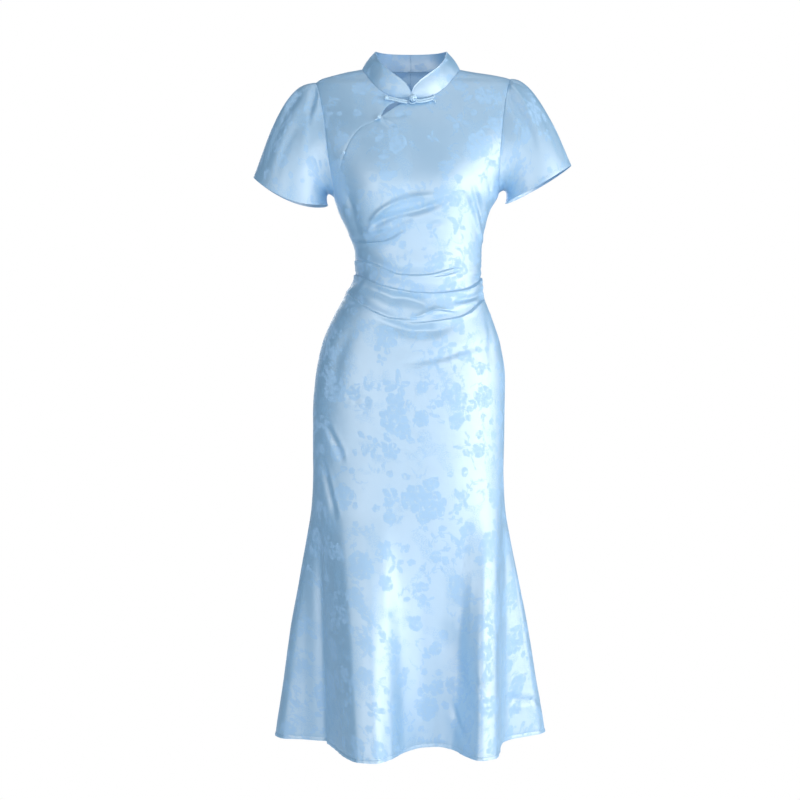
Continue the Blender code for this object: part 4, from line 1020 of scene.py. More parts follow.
# %% Sizes of the sleeves
Sleeve = namedtuple("Sleeve", "outer inner depth dip_front dip_back")
SLEEVES = {
    RIGHT: Sleeve((-0.283, -0.190), (-0.150, -0.240), 0.058, 0.021, 0.0125),
    LEFT: Sleeve((0.288, -0.169), (0.170, -0.236), 0.058, 0.006, 0.002),
}
Start = namedtuple("Start", "along_top along_side along_under out_top out_side out_under")
SLEEVE_START = {
    RIGHT: Start(0.0385, 0.0260, 0.0150, 0.0330, 0.0170, 0.0080),
    LEFT: Start(0.0330, 0.0260, 0.0150, 0.0160, 0.0160, 0.0080),
}
Arrive = namedtuple("Arrive", "top_in top_up side_in side_up under_out under_up")
SLEEVE_ARRIVE = {
    RIGHT: Arrive(0.035, 0.100, 0.004, 0.055, 0.004, 0.020),
    LEFT: Arrive(0.033, 0.084, 0.004, 0.055, 0.004, 0.020),
}
Gather = namedtuple("Gather", "turn_top down_top turn_low down_low depth width")
GATHERS = {
    RIGHT: [
        Gather(28, 0.00, 78, 0.30, -0.0062, 0.0085),
        Gather(8, 0.00, 14, 0.42, -0.0025, 0.0050),
        Gather(-14, 0.00, -12, 0.36, -0.0030, 0.0060),
        Gather(24, 0.30, 44, 0.92, -0.0042, 0.0120),
        Gather(52, 0.02, 92, 0.55, 0.0032, 0.0100),
        Gather(-40, 0.00, -58, 0.45, -0.0040, 0.0090),
        Gather(-78, 0.02, -96, 0.50, -0.0030, 0.0110),
        Gather(17, 0.00, 22, 0.16, -0.0020, 0.0026),
        Gather(2, 0.00, 3, 0.15, -0.0018, 0.0026),
        Gather(-5, 0.00, -6, 0.18, -0.0020, 0.0028),
        Gather(38, 0.00, 46, 0.12, -0.0016, 0.0026),
        Gather(-26, 0.00, -32, 0.16, -0.0018, 0.0028),
        Gather(60, 0.45, 66, 0.95, -0.0018, 0.0090),
    ],
    LEFT: [
        Gather(16, 0.00, 24, 0.38, -0.0032, 0.0070),
        Gather(44, 0.00, 66, 0.40, -0.0035, 0.0080),
        Gather(30, 0.00, 74, 0.70, 0.0040, 0.0100),
        Gather(-8, 0.00, -6, 0.36, -0.0025, 0.0060),
        Gather(-34, 0.00, -48, 0.45, -0.0035, 0.0090),
        Gather(-70, 0.02, -88, 0.50, -0.0035, 0.0110),
        Gather(6, 0.00, 8, 0.17, -0.0018, 0.0026),
        Gather(24, 0.00, 30, 0.15, -0.0018, 0.0026),
        Gather(-20, 0.00, -25, 0.16, -0.0018, 0.0028),
        Gather(58, 0.10, 84, 0.72, -0.0024, 0.0080),
        Gather(34, 0.55, 44, 0.95, -0.0016, 0.0100),
    ],
}
print("gathers:", {side: len(rows) for side, rows in GATHERS.items()})

# %% Make the sleeves
SLEEVE_CLOTH = (0.7, 0.3)
SLEEVE_GAP = SEAM_GAP * 0.75
CAP_RADIUS = 0.085
SLEEVE_LENGTH = 0.190
CAP_FADE = 0.06
CUFF_FADE = 0.08
SLEEVE_ROWS = 54
SLEEVE_ROW_SPREAD = 1.15
CUFF_BAND = 0.0075
CUFF_STEP = 0.0009
SWELL_FADE = 8


def by_turn(turn, top, side, under):
    """A value that changes from the top of the sleeve to its side and its underside."""
    at_top, at_under = np.maximum(np.cos(turn), 0) ** 2, np.maximum(-np.cos(turn), 0) ** 2
    return (top * at_top + under * at_under + side * (1 - at_top - at_under))[:, None]


def gather_height(side, turn, down):
    """How far the gathers move the points of a sleeve out."""
    total = np.zeros(np.broadcast(turn, down).shape)
    for gather in GATHERS[side]:
        start = np.array([np.radians(gather.turn_top) * CAP_RADIUS, gather.down_top * SLEEVE_LENGTH])
        end = np.array([np.radians(gather.turn_low) * CAP_RADIUS, gather.down_low * SLEEVE_LENGTH])
        run = end - start
        x, y = turn * CAP_RADIUS - start[0], down * SLEEVE_LENGTH - start[1]
        t = np.clip((x * run[0] + y * run[1]) / (run @ run), 0, 1)
        distance = np.hypot(x - t * run[0], y - t * run[1])
        total += gather.depth * (1 - t**2) * np.exp(-((distance / gather.width) ** 2))
    return total * np.clip(down / CAP_FADE, 0, 1) * np.clip((1 - down) / CUFF_FADE, 0, 1)


def cuff(side, turn):
    """The edge of the cuff: a tilted oval whose hem dips at the front and back."""
    sleeve = SLEEVES[side]
    outer, inner = np.array(sleeve.outer), np.array(sleeve.inner)
    middle, half = (outer + inner) / 2, (outer - inner) / 2
    flat = middle + np.outer(np.cos(turn), half)
    dip = np.where(np.sin(turn) > 0, sleeve.dip_front, sleeve.dip_back) * np.sin(turn) ** 2
    return np.stack([flat[:, 0], -sleeve.depth * np.sin(turn), flat[:, 1] - dip], axis=-1)


def tube_faces(rows, columns, closed):
    """Faces of a wall between an outer and an inner grid of points."""
    count = rows * columns
    steps = columns if closed else columns - 1
    faces = []
    for i in range(rows - 1):
        for j in range(steps):
            a, b = i * columns + j, i * columns + (j + 1) % columns
            faces.append((a, b, b + columns, a + columns))
            faces.append((count + a + columns, count + b + columns, count + b, count + a))
    for row, way in ((0, 1), (rows - 1, -1)):
        for j in range(steps):
            a, b = row * columns + j, row * columns + (j + 1) % columns
            faces.append((b, a, count + a, count + b)[::way])
    if not closed:
        for j, way in ((0, 1), (columns - 1, -1)):
            for i in range(rows - 1):
                a, b = i * columns + j, (i + 1) * columns + j
                faces.append((a, b, count + b, count + a)[::way])
    return faces


def walled(name, shell, inside, flat, closed):
    """A piece between an outer and an inner grid, whose places on the flat cloth are given."""
    points = np.concatenate([shell.reshape(-1, 3), inside.reshape(-1, 3)])
    places = np.stack(np.broadcast_arrays(*flat), axis=-1).reshape(-1, 3)
    faces = tube_faces(*shell.shape[:2], closed)
    cloth_object(name, points, faces, np.concatenate([places, places]))
    print(name, "points:", len(points))


def smooth_sleeve(side, turn, edge, out, along, down):
    """A sleeve without its gathers: curves from the armhole's seam to the cuff."""
    start, arrive = SLEEVE_START[side], SLEEVE_ARRIVE[side]
    leave = along * by_turn(turn, start.along_top, start.along_side, start.along_under)
    leave = leave + out * by_turn(turn, start.out_top, start.out_side, start.out_under)
    end = cuff(side, turn)
    arriving = np.zeros_like(end)
    arriving[:, 0] = -side * by_turn(turn, arrive.top_in, arrive.side_in, -arrive.under_out)[:, 0]
    arriving[:, 2] = by_turn(turn, arrive.top_up, arrive.side_up, arrive.under_up)[:, 0]
    shell = (1 - down) ** 3 * edge + 3 * down * (1 - down) ** 2 * (edge + leave)
    return shell + 3 * down**2 * (1 - down) * (end + arriving) + down**3 * end


def sleeve(name, side):
    """A sleeve from the armhole's seam over its puffed cap to the cuff."""
    front, back = armhole(side, FACE_FRONT), armhole(side, FACE_BACK)
    angle = np.concatenate([front[0][::-1], back[0][1:-1]])
    z = np.concatenate([front[1][::-1], back[1][1:-1]])
    edge, inner_edge, out = cloth(angle, z)
    run = np.roll(edge, -1, axis=0) - np.roll(edge, 1, axis=0)
    along = unit(np.cross(out, run)) * side
    turn = np.linspace(0, 2 * np.pi, len(edge), endpoint=False)
    down = np.linspace(0, 1, SLEEVE_ROWS + 1)[:, None, None] ** SLEEVE_ROW_SPREAD
    shell = smooth_sleeve(side, turn, edge, out, along, down)
    around_it = np.roll(shell, -1, axis=1) - np.roll(shell, 1, axis=1)
    normal = unit(np.cross(np.gradient(shell, axis=0), around_it)) * -side
    normal[0] = unit(edge - inner_edge)
    signed_turn = (turn + np.pi) % (2 * np.pi) - np.pi
    share = down[..., 0]
    rise = (1 - share) * SLEEVE_LENGTH
    height = gather_height(side, signed_turn[None], share)
    height = height + swell(shell) * np.minimum(share * SWELL_FADE, 1)
    height = height + HEM_THICK * step_down(rise, CUFF_BAND, CUFF_STEP)
    shell = shell + normal * height[..., None]
    inside = shell - WALL * normal
    inside[0] = inner_edge
    shell[0] -= normal[0] * SEAM_SINK
    shell[0] += along * SLEEVE_GAP
    inside[0] += along * SLEEVE_GAP
    across = signed_turn[None] * CAP_RADIUS + SLEEVE_CLOTH[0] * side
    walled(name, shell, inside, (across, -rise, SLEEVE_CLOTH[1]), True)
    return shell, normal


SLEEVE_SHELLS = {RIGHT: sleeve("sleeve_right_satin", RIGHT), LEFT: sleeve("sleeve_left_satin", LEFT)}

# %% [markdown]
# ## The standing collar
# Two curved bands stand up round the neck, rounded where they meet in front, each with a fine rolled
# edge. A band is a wall between the neck's seam and the collar's upper edge, bulged slightly outwards.

# %% Make the collar
CollarPoint = namedtuple("CollarPoint", "x y z")
COLLAR_FRONT = [
    CollarPoint(*row)
    for row in (
        (0.0000, -0.0540, -0.0470), (0.0035, -0.0550, -0.0385), (0.0148, -0.0545, -0.0254),
        (0.0290, -0.0510, -0.0140), (0.0464, -0.0420, 0.0005), (0.0588, -0.0280, 0.0165),
        (0.0648, -0.0060, 0.0345),
    )
]
COLLAR_BACK = [
    CollarPoint(*row)
    for row in (
        (0.0648, -0.0060, 0.0345), (0.0620, 0.0160, 0.0400), (0.0510, 0.0380, 0.0420),
        (0.0280, 0.0500, 0.0425), (0.0000, 0.0530, 0.0425),
    )
]
COLLAR_BULGE = 0.0020
COLLAR_ROWS = 22
COLLAR_HEIGHT = 0.040
ROLL = 0.0007
ROLL_WIDTH = 0.0016
ROLL_INSIDE = 1.6
COLLAR_SEAM = 0.0006
COLLAR_CLOTH = (1.3, 0.6)


def collar(name, side):
    """Half of the standing collar, from the rounded front corner to the centre back."""
    edge = joined(neck_front(side), neck_back(side))
    outer, inner, out = cloth(*edge)
    up = unit(np.cross(out, unit(np.gradient(outer, axis=0)))) * side
    top = [rounded(COLLAR_FRONT, NECK_FRONT_STEPS), rounded(COLLAR_BACK, NECK_BACK_STEPS)[1:]]
    top = np.concatenate(top)
    top[:, 0] *= side
    level = (np.sin(np.linspace(-0.5, 0.5, COLLAR_ROWS + 1) * np.pi) + 1)[:, None, None] / 2
    shell = outer + (top - outer) * level
    normal = np.cross(np.gradient(shell, axis=1), np.gradient(shell, axis=0)) * side
    normal[:, [0, -1], 0] = 0
    normal = unit(normal)
    bulge = COLLAR_BULGE * np.sin(np.pi * level)
    roll = ROLL * np.exp(-(((1 - level) * COLLAR_HEIGHT / ROLL_WIDTH) ** 2))
    shell = shell + normal * (bulge + roll)
    inside = shell - normal * (WALL + ROLL_INSIDE * roll)
    inside[0] = inner
    shell[:, -1] -= normal[:, -1] * COLLAR_SEAM
    inside[:, -1] += normal[:, -1] * COLLAR_SEAM
    shell[0] += up * SEAM_GAP / 2 - normal[0] * SEAM_SINK / 2
    inside[0] += up * SEAM_GAP / 2
    shift = np.zeros_like(shell)
    shift[:, [0, -1], 0] = side * SEAM_GAP / 2
    across = side * lengths_along(outer)[None]
    along = COLLAR_CLOTH[0] + level[..., 0] * COLLAR_HEIGHT
    walled(name, shell + shift, inside + shift, (across, along, COLLAR_CLOTH[1]), False)
    return inside[:, -1] - normal[:, -1] * COLLAR_SEAM


collar_seam = collar("collar_right_satin", RIGHT)
collar("collar_left_satin", LEFT)

# %% [markdown]
# ## Frog, knots and stitches
# The frog is a doubled satin cord: one arm ends in a loop, the other in a ball of interlaced turns
# that the loop closes round, and its free ends are curled and sewn down. Tubes swept along short
# routes make the cords, and the ball is a tube wound round a small sphere.

# %% Cords, knots and threads
CORD_RADIUS = 0.0019
TUBE_SIDES = 10
TUBE_HELPER = np.array([0.13, 1.0, 0.21])
TUBE_DOME = 0.6
BALL_TURNS = (0.35, 1.40, 2.45)
BALL_OFFSETS = (-0.42, 0.42)
BALL_OUT, BALL_ACROSS = 0.9, 0.45
BALL_STEPS = 36
Knot = namedtuple("Knot", "size radius lift")


def front_place(x, z):
    """A point of the front's outer face, and the direction straight out of it there."""
    angle = angle_at(np.where(x < 0, RIGHT, LEFT), FACE_FRONT, x, z)
    outer, _, out = cloth(angle, z)
    return outer, out


def tube(line, radius, closed=False):
    """Points and faces of a round cord along a line; its two ends are domed."""
    line = np.asarray(line, float)
    count = len(line)
    radius = np.broadcast_to(radius, (count,)).astype(float).copy()
    if closed:
        run = unit(np.roll(line, -1, axis=0) - np.roll(line, 1, axis=0))
    else:
        run = unit(np.gradient(line, axis=0))
    side = unit(np.cross(run, TUBE_HELPER))
    over = np.cross(run, side)
    turn = np.linspace(0, 2 * np.pi, TUBE_SIDES, endpoint=False)
    ring = side[:, None] * np.cos(turn)[None, :, None] + over[:, None] * np.sin(turn)[None, :, None]
    points = (line[:, None] + ring * radius[:, None, None]).reshape(-1, 3)
    faces = []
    for i in range(count if closed else count - 1):
        for j in range(TUBE_SIDES):
            a, b = i * TUBE_SIDES + j, i * TUBE_SIDES + (j + 1) % TUBE_SIDES
            c, d = (b + TUBE_SIDES) % (count * TUBE_SIDES), (a + TUBE_SIDES) % (count * TUBE_SIDES)
            faces.append((a, b, c, d))
    if not closed:
        last = (count - 1) * TUBE_SIDES
        dome = radius * TUBE_DOME
        tips = np.stack([line[0] - run[0] * dome[0], line[-1] + run[-1] * dome[-1]])
        points = np.concatenate([points, tips])
        for j in range(TUBE_SIDES):
            k = (j + 1) % TUBE_SIDES
            faces.append((k, j, len(points) - 2))
            faces.append((last + j, last + k, len(points) - 1))
    return points, faces


def joined_tubes(name, tubes):
    """Several cords as one object."""
    points, faces = [], []
    total = 0
    for some_points, some_faces in tubes:
        points.append(some_points)
        faces += [tuple(total + i for i in face) for face in some_faces]
        total += len(some_points)
    points = np.concatenate(points)
    cloth_object(name, points, faces, points)


def laid(route, steps, lift):
    """A line that lies on the front, lifted by a height, through places given by x and z."""
    places = rounded(route, steps)
    surface, out = front_place(places[:, 0], places[:, 1])
    return surface + out * np.broadcast_to(lift, (len(surface),))[:, None]


def ball(place, knot):
    """A knot on the front: one cord wound round a small sphere in three crossing directions."""
    surface, out = front_place(np.array([place[0]]), np.array([place[1]]))
    centre, out = surface[0] + out[0] * knot.lift, out[0]
    tubes = []
    across = unit(np.cross(np.array([0.0, 0.0, 1.0]), out))
    up = np.cross(out, across)
    t = np.linspace(0, 2 * np.pi, BALL_STEPS, endpoint=False)
    for tilt in BALL_TURNS:
        axis_a = across * math.cos(tilt) + up * math.sin(tilt)
        beside = up * math.cos(tilt) - across * math.sin(tilt)
        axis_b = unit(out * BALL_OUT + beside * BALL_ACROSS)
        turn = np.outer(np.cos(t), axis_a) + np.outer(np.sin(t), axis_b)
        for offset in BALL_OFFSETS:
            ring = turn * math.sqrt(1 - offset**2) + offset * np.cross(axis_a, axis_b)
            tubes.append(tube(centre + knot.size * ring, knot.radius, closed=True))
    return tubes


print("cord radius:", CORD_RADIUS, "metres")

# %% Tie the frog and the two knot buttons
CORD_LIFT = CORD_RADIUS + 0.0011
HALF_PAIR = 0.0018
LOOP_ARM_STEPS, KNOT_ARM_STEPS, CURL_STEPS, TAIL_STEPS, RING_STEPS = 30, 26, 14, 12, 40
CURL_END = 0.0010
LOOP_ROUTE = [(-0.0425, -0.0575), (-0.0330, -0.0590), (-0.0200, -0.0628), (-0.0075, -0.0650)]
ARM_ROUTE = [(0.0085, -0.0630), (0.0150, -0.0640), (0.0270, -0.0616), (0.0370, -0.0585)]
CURLS = ([(0.0370, -0.0572), (0.0402, -0.0548), (0.0412, -0.0520), (0.0392, -0.0512)],
         [(0.0370, -0.0600), (0.0405, -0.0612), (0.0428, -0.0640), (0.0412, -0.0660)])
KNOT_PLACE = (0.0035, -0.0600)
LOOP_END = (-0.0437, -0.0570)
KEYHOLE_BUTTON = (-0.0562, -0.0945)
PLACKET_BUTTON = (-0.1170, -0.1560)
SEWN_END = [(-0.0562, -0.0945), (-0.0600, -0.0975), (-0.0640, -0.0985)]
TAIL_LIFT, TAIL_RADIUS = 0.0016, 0.0010
RING_PLACE = (0.0023, -0.0630)
RING_HALF = (0.0062, 0.0050)
RING_LIFT, RING_RADIUS = 0.0026, 0.0011
LOOP_BALL = Knot(0.0030, 0.0014, 0.0040)
FROG_BALL = Knot(0.0050, 0.0018, 0.0070)
KEYHOLE_BALL = Knot(0.0029, 0.0011, 0.0044)
PLACKET_BALL = Knot(0.0021, 0.0009, 0.0034)


def pair(route, steps):
    """Two cords side by side along a route on the front."""
    places = rounded(route, steps)
    run = unit(np.gradient(places, axis=0))
    side = np.stack([-run[:, 1], run[:, 0]], axis=-1)
    lines = [laid(places + side * HALF_PAIR * way, steps, CORD_LIFT) for way in (-1, 1)]
    return [tube(line, CORD_RADIUS) for line in lines]


def frog_loop():
    """The arm with the loop, and the small ball at its sewn end."""
    turn = np.linspace(0, 2 * np.pi, RING_STEPS, endpoint=False)
    x = RING_PLACE[0] + RING_HALF[0] * np.cos(turn)
    z = RING_PLACE[1] + RING_HALF[1] * np.sin(turn)
    surface, out = front_place(x, z)
    ring = tube(surface + out * RING_LIFT, RING_RADIUS, closed=True)
    joined_tubes("frog_loop_cord", pair(LOOP_ROUTE, LOOP_ARM_STEPS) + ball(LOOP_END, LOOP_BALL) + [ring])


def frog_knot():
    """The arm with the ball, and its two curled ends."""
    thinner = np.linspace(CORD_RADIUS, CURL_END, CURL_STEPS + 1)
    curls = [tube(laid(curl, CURL_STEPS, CORD_LIFT), thinner) for curl in CURLS]
    joined_tubes("frog_knot_cord", pair(ARM_ROUTE, KNOT_ARM_STEPS) + curls + ball(KNOT_PLACE, FROG_BALL))


frog_loop()
frog_knot()
sewn_tail = tube(laid(SEWN_END, TAIL_STEPS, TAIL_LIFT), TAIL_RADIUS)
joined_tubes("keyhole_button_cord", ball(KEYHOLE_BUTTON, KEYHOLE_BALL) + [sewn_tail])
joined_tubes("placket_button_cord", ball(PLACKET_BUTTON, PLACKET_BALL))
print("cords:", [name for name in pieces if name.endswith("cord")])

# %% Sew the hem and the cuffs
STITCH = 0.0030
STITCH_STEP = 0.0042
THREAD_RADIUS = 0.00028
# the neck's seam lines are dark tubes of this radius, painted shade of the seams' valleys
SEAM_SHADE_RADIUS = 0.00050
SEAM_SHOWN_Z, SEAM_STEPS = -0.10, 14
HEM_LINE_STEPS = 900
# a stitch is a small six-cornered grain: along its run, across it, and out of the cloth
STITCH_SHAPE = [(-0.5, 0, -0.3), (-0.25, 1, 0.4), (-0.25, -1, 0.4), (0.25, 1, 0.4), (0.25, -1, 0.4),
                (0.5, 0, -0.3)]
STITCH_FACES = [(0, 2, 1), (1, 2, 4, 3), (3, 4, 5), (0, 1, 3, 5), (0, 5, 4, 2)]


def at_lengths(length, values, where):
    """Vectors of a line at given lengths along it."""
    return np.stack([np.interp(where, length, column) for column in values.T], axis=-1)


def stitches(name, line, out):
    """A row of short stitches along a line, as one joined mesh."""
    line = np.concatenate([line, line[:1]])
    out = np.concatenate([out, out[:1]])
    length = lengths_along(line)
    starts = np.arange(0, length[-1] - STITCH, STITCH_STEP)
    middle = starts + STITCH / 2
    place = at_lengths(length, line, middle)
    up = unit(at_lengths(length, out, middle))
    run = unit(at_lengths(length, line, middle + STITCH / 2) - place)
    side = np.cross(up, run)
    points = []
    faces = []
    for i in range(len(place)):
        faces += [tuple(len(points) + k for k in face) for face in STITCH_FACES]
        for along, across, high in STITCH_SHAPE:
            offset = run[i] * STITCH * along + (side[i] * across + up[i] * high) * THREAD_RADIUS
            points.append(place[i] + offset)
    cloth_object(name, np.array(points), faces, np.array(points))
    print(name, "stitches:", len(place))


def painted_seam_shade(name):
    """Dark tubes on the centre back seam and the collar's seam inside the neck: painted shade of their
    valleys.
    """
    low_z = np.linspace(SEAM_SHOWN_Z, NECK_BACK_Z, SEAM_STEPS)
    edges = [(np.full(len(low_z), np.pi), low_z), neck_back(RIGHT), neck_back(LEFT)]
    tubes = [tube(collar_seam, SEAM_SHADE_RADIUS)]
    for angle, z in edges:
        _, inside, out = cloth(angle, z)
        tubes.append(tube(inside - out * THREAD_RADIUS, SEAM_SHADE_RADIUS))
    joined_tubes(name, tubes)


# dark tubes on the seams inside the neck: painted shade where the seams' valleys are
painted_seam_shade("neck_seam_painted_shade")
turns = np.linspace(-np.pi, np.pi, HEM_LINE_STEPS, endpoint=False)
hem_line, _, hem_out = cloth(turns, np.full(len(turns), HEM_Z + HEM_BAND))
stitches("hem_stitches", hem_line, hem_out)
for side, word in ((RIGHT, "right"), (LEFT, "left")):
    shell, normal = SLEEVE_SHELLS[side]
    share = np.linspace(0, 1, SLEEVE_ROWS + 1) ** SLEEVE_ROW_SPREAD
    row = int(np.argmin(np.abs((1 - share) * SLEEVE_LENGTH - CUFF_BAND)))
    stitches("cuff_stitches_" + word, shell[row], normal[row])

# %% [markdown]
# ## Shader sums in plain Python
# A woven pattern is a long sum of sines and distances. Wrapping a node's output in a small class lets
# Python's own operators add the Math nodes, so the pattern reads as a formula.

# %% Wires and nodes
BUMP_DISTANCE = 0.0002


class Wire:
    """One output of a node; a sum on wires adds a Math node."""

    def __init__(self, maker, socket):
        self.maker = maker
        self.socket = socket

    def __add__(self, other):
        return self.maker.one("ADD", self, other)

    def __sub__(self, other):
        return self.maker.one("SUBTRACT", self, other)

    def __rsub__(self, other):
        return self.maker.one("SUBTRACT", other, self)

    def __mul__(self, other):
        return self.maker.one("MULTIPLY", self, other)

    def __truediv__(self, other):
        return self.maker.one("DIVIDE", self, other)

    def __gt__(self, other):
        return self.maker.one("GREATER_THAN", self, other)

    def __lt__(self, other):
        return self.maker.one("LESS_THAN", self, other)

    __radd__ = __add__
    __rmul__ = __mul__

    def clamped(self):
        return self.maker.node("ShaderNodeClamp", {}, {"Value": self})


class Maker:
    """Makes the nodes of one material."""

    def __init__(self, name):
        self.material = bpy.data.materials.new(name)
        self.material.use_nodes = True
        self.tree = self.material.node_tree
        self.shader = self.tree.nodes["Principled BSDF"]

    def node(self, kind, settings, inputs, output=0):
        """A node of a kind; its settings come first, then the values or links of its sockets."""
        made = self.tree.nodes.new(kind)
        for name, value in settings.items():
            setattr(made, name, value)
        for name, value in inputs.items():
            self.join(value, made.inputs[name])
        return Wire(self, made.outputs[output])

    def join(self, value, socket):
        """Links a wire to a socket, or sets the socket to a value."""
        if isinstance(value, Wire):
            self.tree.links.new(value.socket, socket)
        else:
            socket.default_value = value

    def vector(self, operation, first, second, output=0):
        """A Vector Math node."""
        return self.node("ShaderNodeVectorMath", {"operation": operation}, {0: first, 1: second}, output)

    def parts(self, vector):
        """The three numbers of a vector."""
        split = self.tree.nodes.new("ShaderNodeSeparateXYZ")
        self.join(vector, split.inputs[0])
        return [Wire(self, output) for output in split.outputs]

    def one(self, operation, value, other=None):
        """A Math node of any operation."""
        values = {0: value} if other is None else {0: value, 1: other}
        return self.node("ShaderNodeMath", {"operation": operation}, values)

    def most(self, first, *others):
        """The largest of several values."""
        for other in others:
            first = self.one("MAXIMUM", first, other)
        return first

    def colour(self, factor, low, high):
        """A colour between two, by a factor."""
        settings = {"data_type": "RGBA", "blend_type": "MIX"}
        return self.node("ShaderNodeMix", settings, {0: factor, 6: low, 7: high}, 2)

    def noise(self, place, scale, detail, output=0):
        """Flat noise as a number, or as a colour from output 1."""
        sockets = {"Vector": place, "Scale": scale, "Detail": detail}
        return self.node("ShaderNodeTexNoise", {"noise_dimensions": "2D"}, sockets, output)

    def flat_cloth(self):
        """The places on the flat cloth that a piece carries."""
        return self.node("ShaderNodeAttribute", {"attribute_name": "flat_cloth"}, {}, "Vector")

    def bump(self, strength, height):
        """A bump of a fine surface, for a Normal socket."""
        sockets = {"Strength": strength, "Distance": BUMP_DISTANCE, "Height": height}
        return self.node("ShaderNodeBump", {}, sockets)


print("wires ready")

# %% [markdown]
# ## The jacquard
# In a tone-on-tone jacquard the ground is satin weave and the flowers, leaves and butterflies are the
# same thread woven dull. So the motifs are darker than the ground where light strikes it and lighter
# where it doesn't. Random cells scatter each kind of motif over the flat cloth, and each motif is a
# formula in its own cell's turned coordinates. All are common garden shapes.

# %% Scatter motifs over the cloth
EDGE_SOFT = 0.0009
CELL_SHIFT = (1.37, 0.71)
CELL_RANDOM = 0.75
CROWD_SCALE = 10.0
Spread = namedtuple("Spread", "cell size share seed petals crowd")
BIG_FLOWERS = Spread(0.090, 0.022, 0.62, 3.0, 7, 2.4)
FLOWERS = Spread(0.056, 0.014, 0.55, 17.0, 5, 2.2)
SMALL_FLOWERS = Spread(0.031, 0.0070, 0.50, 8.0, 5, 1.4)
SPRAYS = Spread(0.064, 0.030, 0.70, 5.0, 0, 2.4)
TWIGS = Spread(0.041, 0.016, 0.65, 12.0, 0, 1.4)
MOTHS = Spread(0.118, 0.021, 0.75, 21.0, 0, -1.0)
SMALL_MOTHS = Spread(0.083, 0.012, 0.55, 33.0, 0, -1.0)


def scattered(maker, place, spread):
    """Each cell's own turned place, its chance of holding a motif, and the motif's growth."""
    shift = (spread.seed * CELL_SHIFT[0], spread.seed * CELL_SHIFT[1], 0)
    moved = maker.vector("ADD", place, shift)
    cells = maker.tree.nodes.new("ShaderNodeTexVoronoi")
    cells.voronoi_dimensions = "2D"
    cells.feature = "F1"
    maker.join(moved, cells.inputs["Vector"])
    cells.inputs["Scale"].default_value = 1 / spread.cell
    cells.inputs["Randomness"].default_value = CELL_RANDOM
    centre = Wire(maker, cells.outputs["Position"])
    local = maker.vector("SUBTRACT", moved, centre)
    chance = maker.parts(Wire(maker, cells.outputs["Color"]))
    angles = maker.node("ShaderNodeCombineXYZ", {}, {2: chance[0] * (2 * math.pi)})
    turn_settings = {"rotation_type": "EULER_XYZ"}
    turned = maker.node("ShaderNodeVectorRotate", turn_settings, {"Vector": local, "Rotation": angles})
    x, y, _ = maker.parts(turned)
    drift = maker.noise(maker.vector("SUBTRACT", centre, shift), CROWD_SCALE, 1.0)
    level = (drift - 0.5) * spread.crowd + chance[1]
    return x, y, level > 1 - spread.share, chance[2]


def polar(maker, x, y):
    """Distance from the middle and angle."""
    return maker.one("SQRT", x * x + y * y), maker.one("ARCTAN2", y, x)


def within(value):
    """1 where a distance inside an edge, in metres, is above 0, with a soft border."""
    return (value / EDGE_SOFT + 0.5).clamped()


def wave(maker, angle, count):
    """Rounded scallops round a circle, with narrow notches between them."""
    return maker.one("SQRT", maker.one("ABSOLUTE", maker.one("COSINE", angle * (count / 2))))


print("smallest and largest cells:", SMALL_FLOWERS.cell, MOTHS.cell, "metres")

# %% Draw a flower, a spray and a butterfly
FLOWER_GROWTH = (0.45, 0.75)
PETAL_DEPTH, FRILL_DEPTH, PETAL_BASE = 0.24, 0.07, 0.69
NOTCH_WIDTH, NOTCH_START = 0.34, 0.45
HEART_WAVE, HEART_RADIUS, HEART_LINE = 0.16, 0.26, 0.025
LINE_STRENGTH = 0.75
SPRAY_GROWTH = (0.4, 0.7)
STEM_BEND, STEM_TAPER, STEM_HALF = 3.6, 0.28, 0.0007
LEAF_STEP, LEAF_LENGTH, LEAF_WIDTH = 0.42, 0.46, 0.125
LEAF_SLANT = (0.80, 0.60)
LEAF_VEIN, VEIN_STRENGTH = 0.00035, 0.8
MOTH_GROWTH = (0.3, 0.85)
UPPER_WING = (0.62, 0.02, 0.26, 0.085)
LOWER_WING = (0.36, -0.28, 0.10, 0.075)
MOTH_TRUNK = (0.004, 0.20)
WING_EDGE = 0.25
WING_VEINS, WING_VEIN_WIDTH, WING_VEIN_START, WING_VEIN_STRENGTH = 17, 0.90, 0.35, 0.6


def blossoms(maker, place, spread):
    """Flowers with scalloped petals, notched inside, and a ring of small petals."""
    x, y, here, grow = scattered(maker, place, spread)
    distance, angle = polar(maker, x, y)
    petals = wave(maker, angle, spread.petals)
    reach = (grow * FLOWER_GROWTH[0] + FLOWER_GROWTH[1]) * spread.size
    frill = wave(maker, angle, spread.petals * 3)
    outline = petals * PETAL_DEPTH + frill * FRILL_DEPTH + PETAL_BASE
    out = distance / reach
    notch = (NOTCH_WIDTH > petals) * (out > NOTCH_START)
    heart = wave(maker, angle + 0.5, spread.petals) * HEART_WAVE
    ring = maker.one("ABSOLUTE", out - heart - HEART_RADIUS)
    lines = maker.most(notch, HEART_LINE > ring)
    return within((outline - out) * reach) * (1 - lines * LINE_STRENGTH) * here


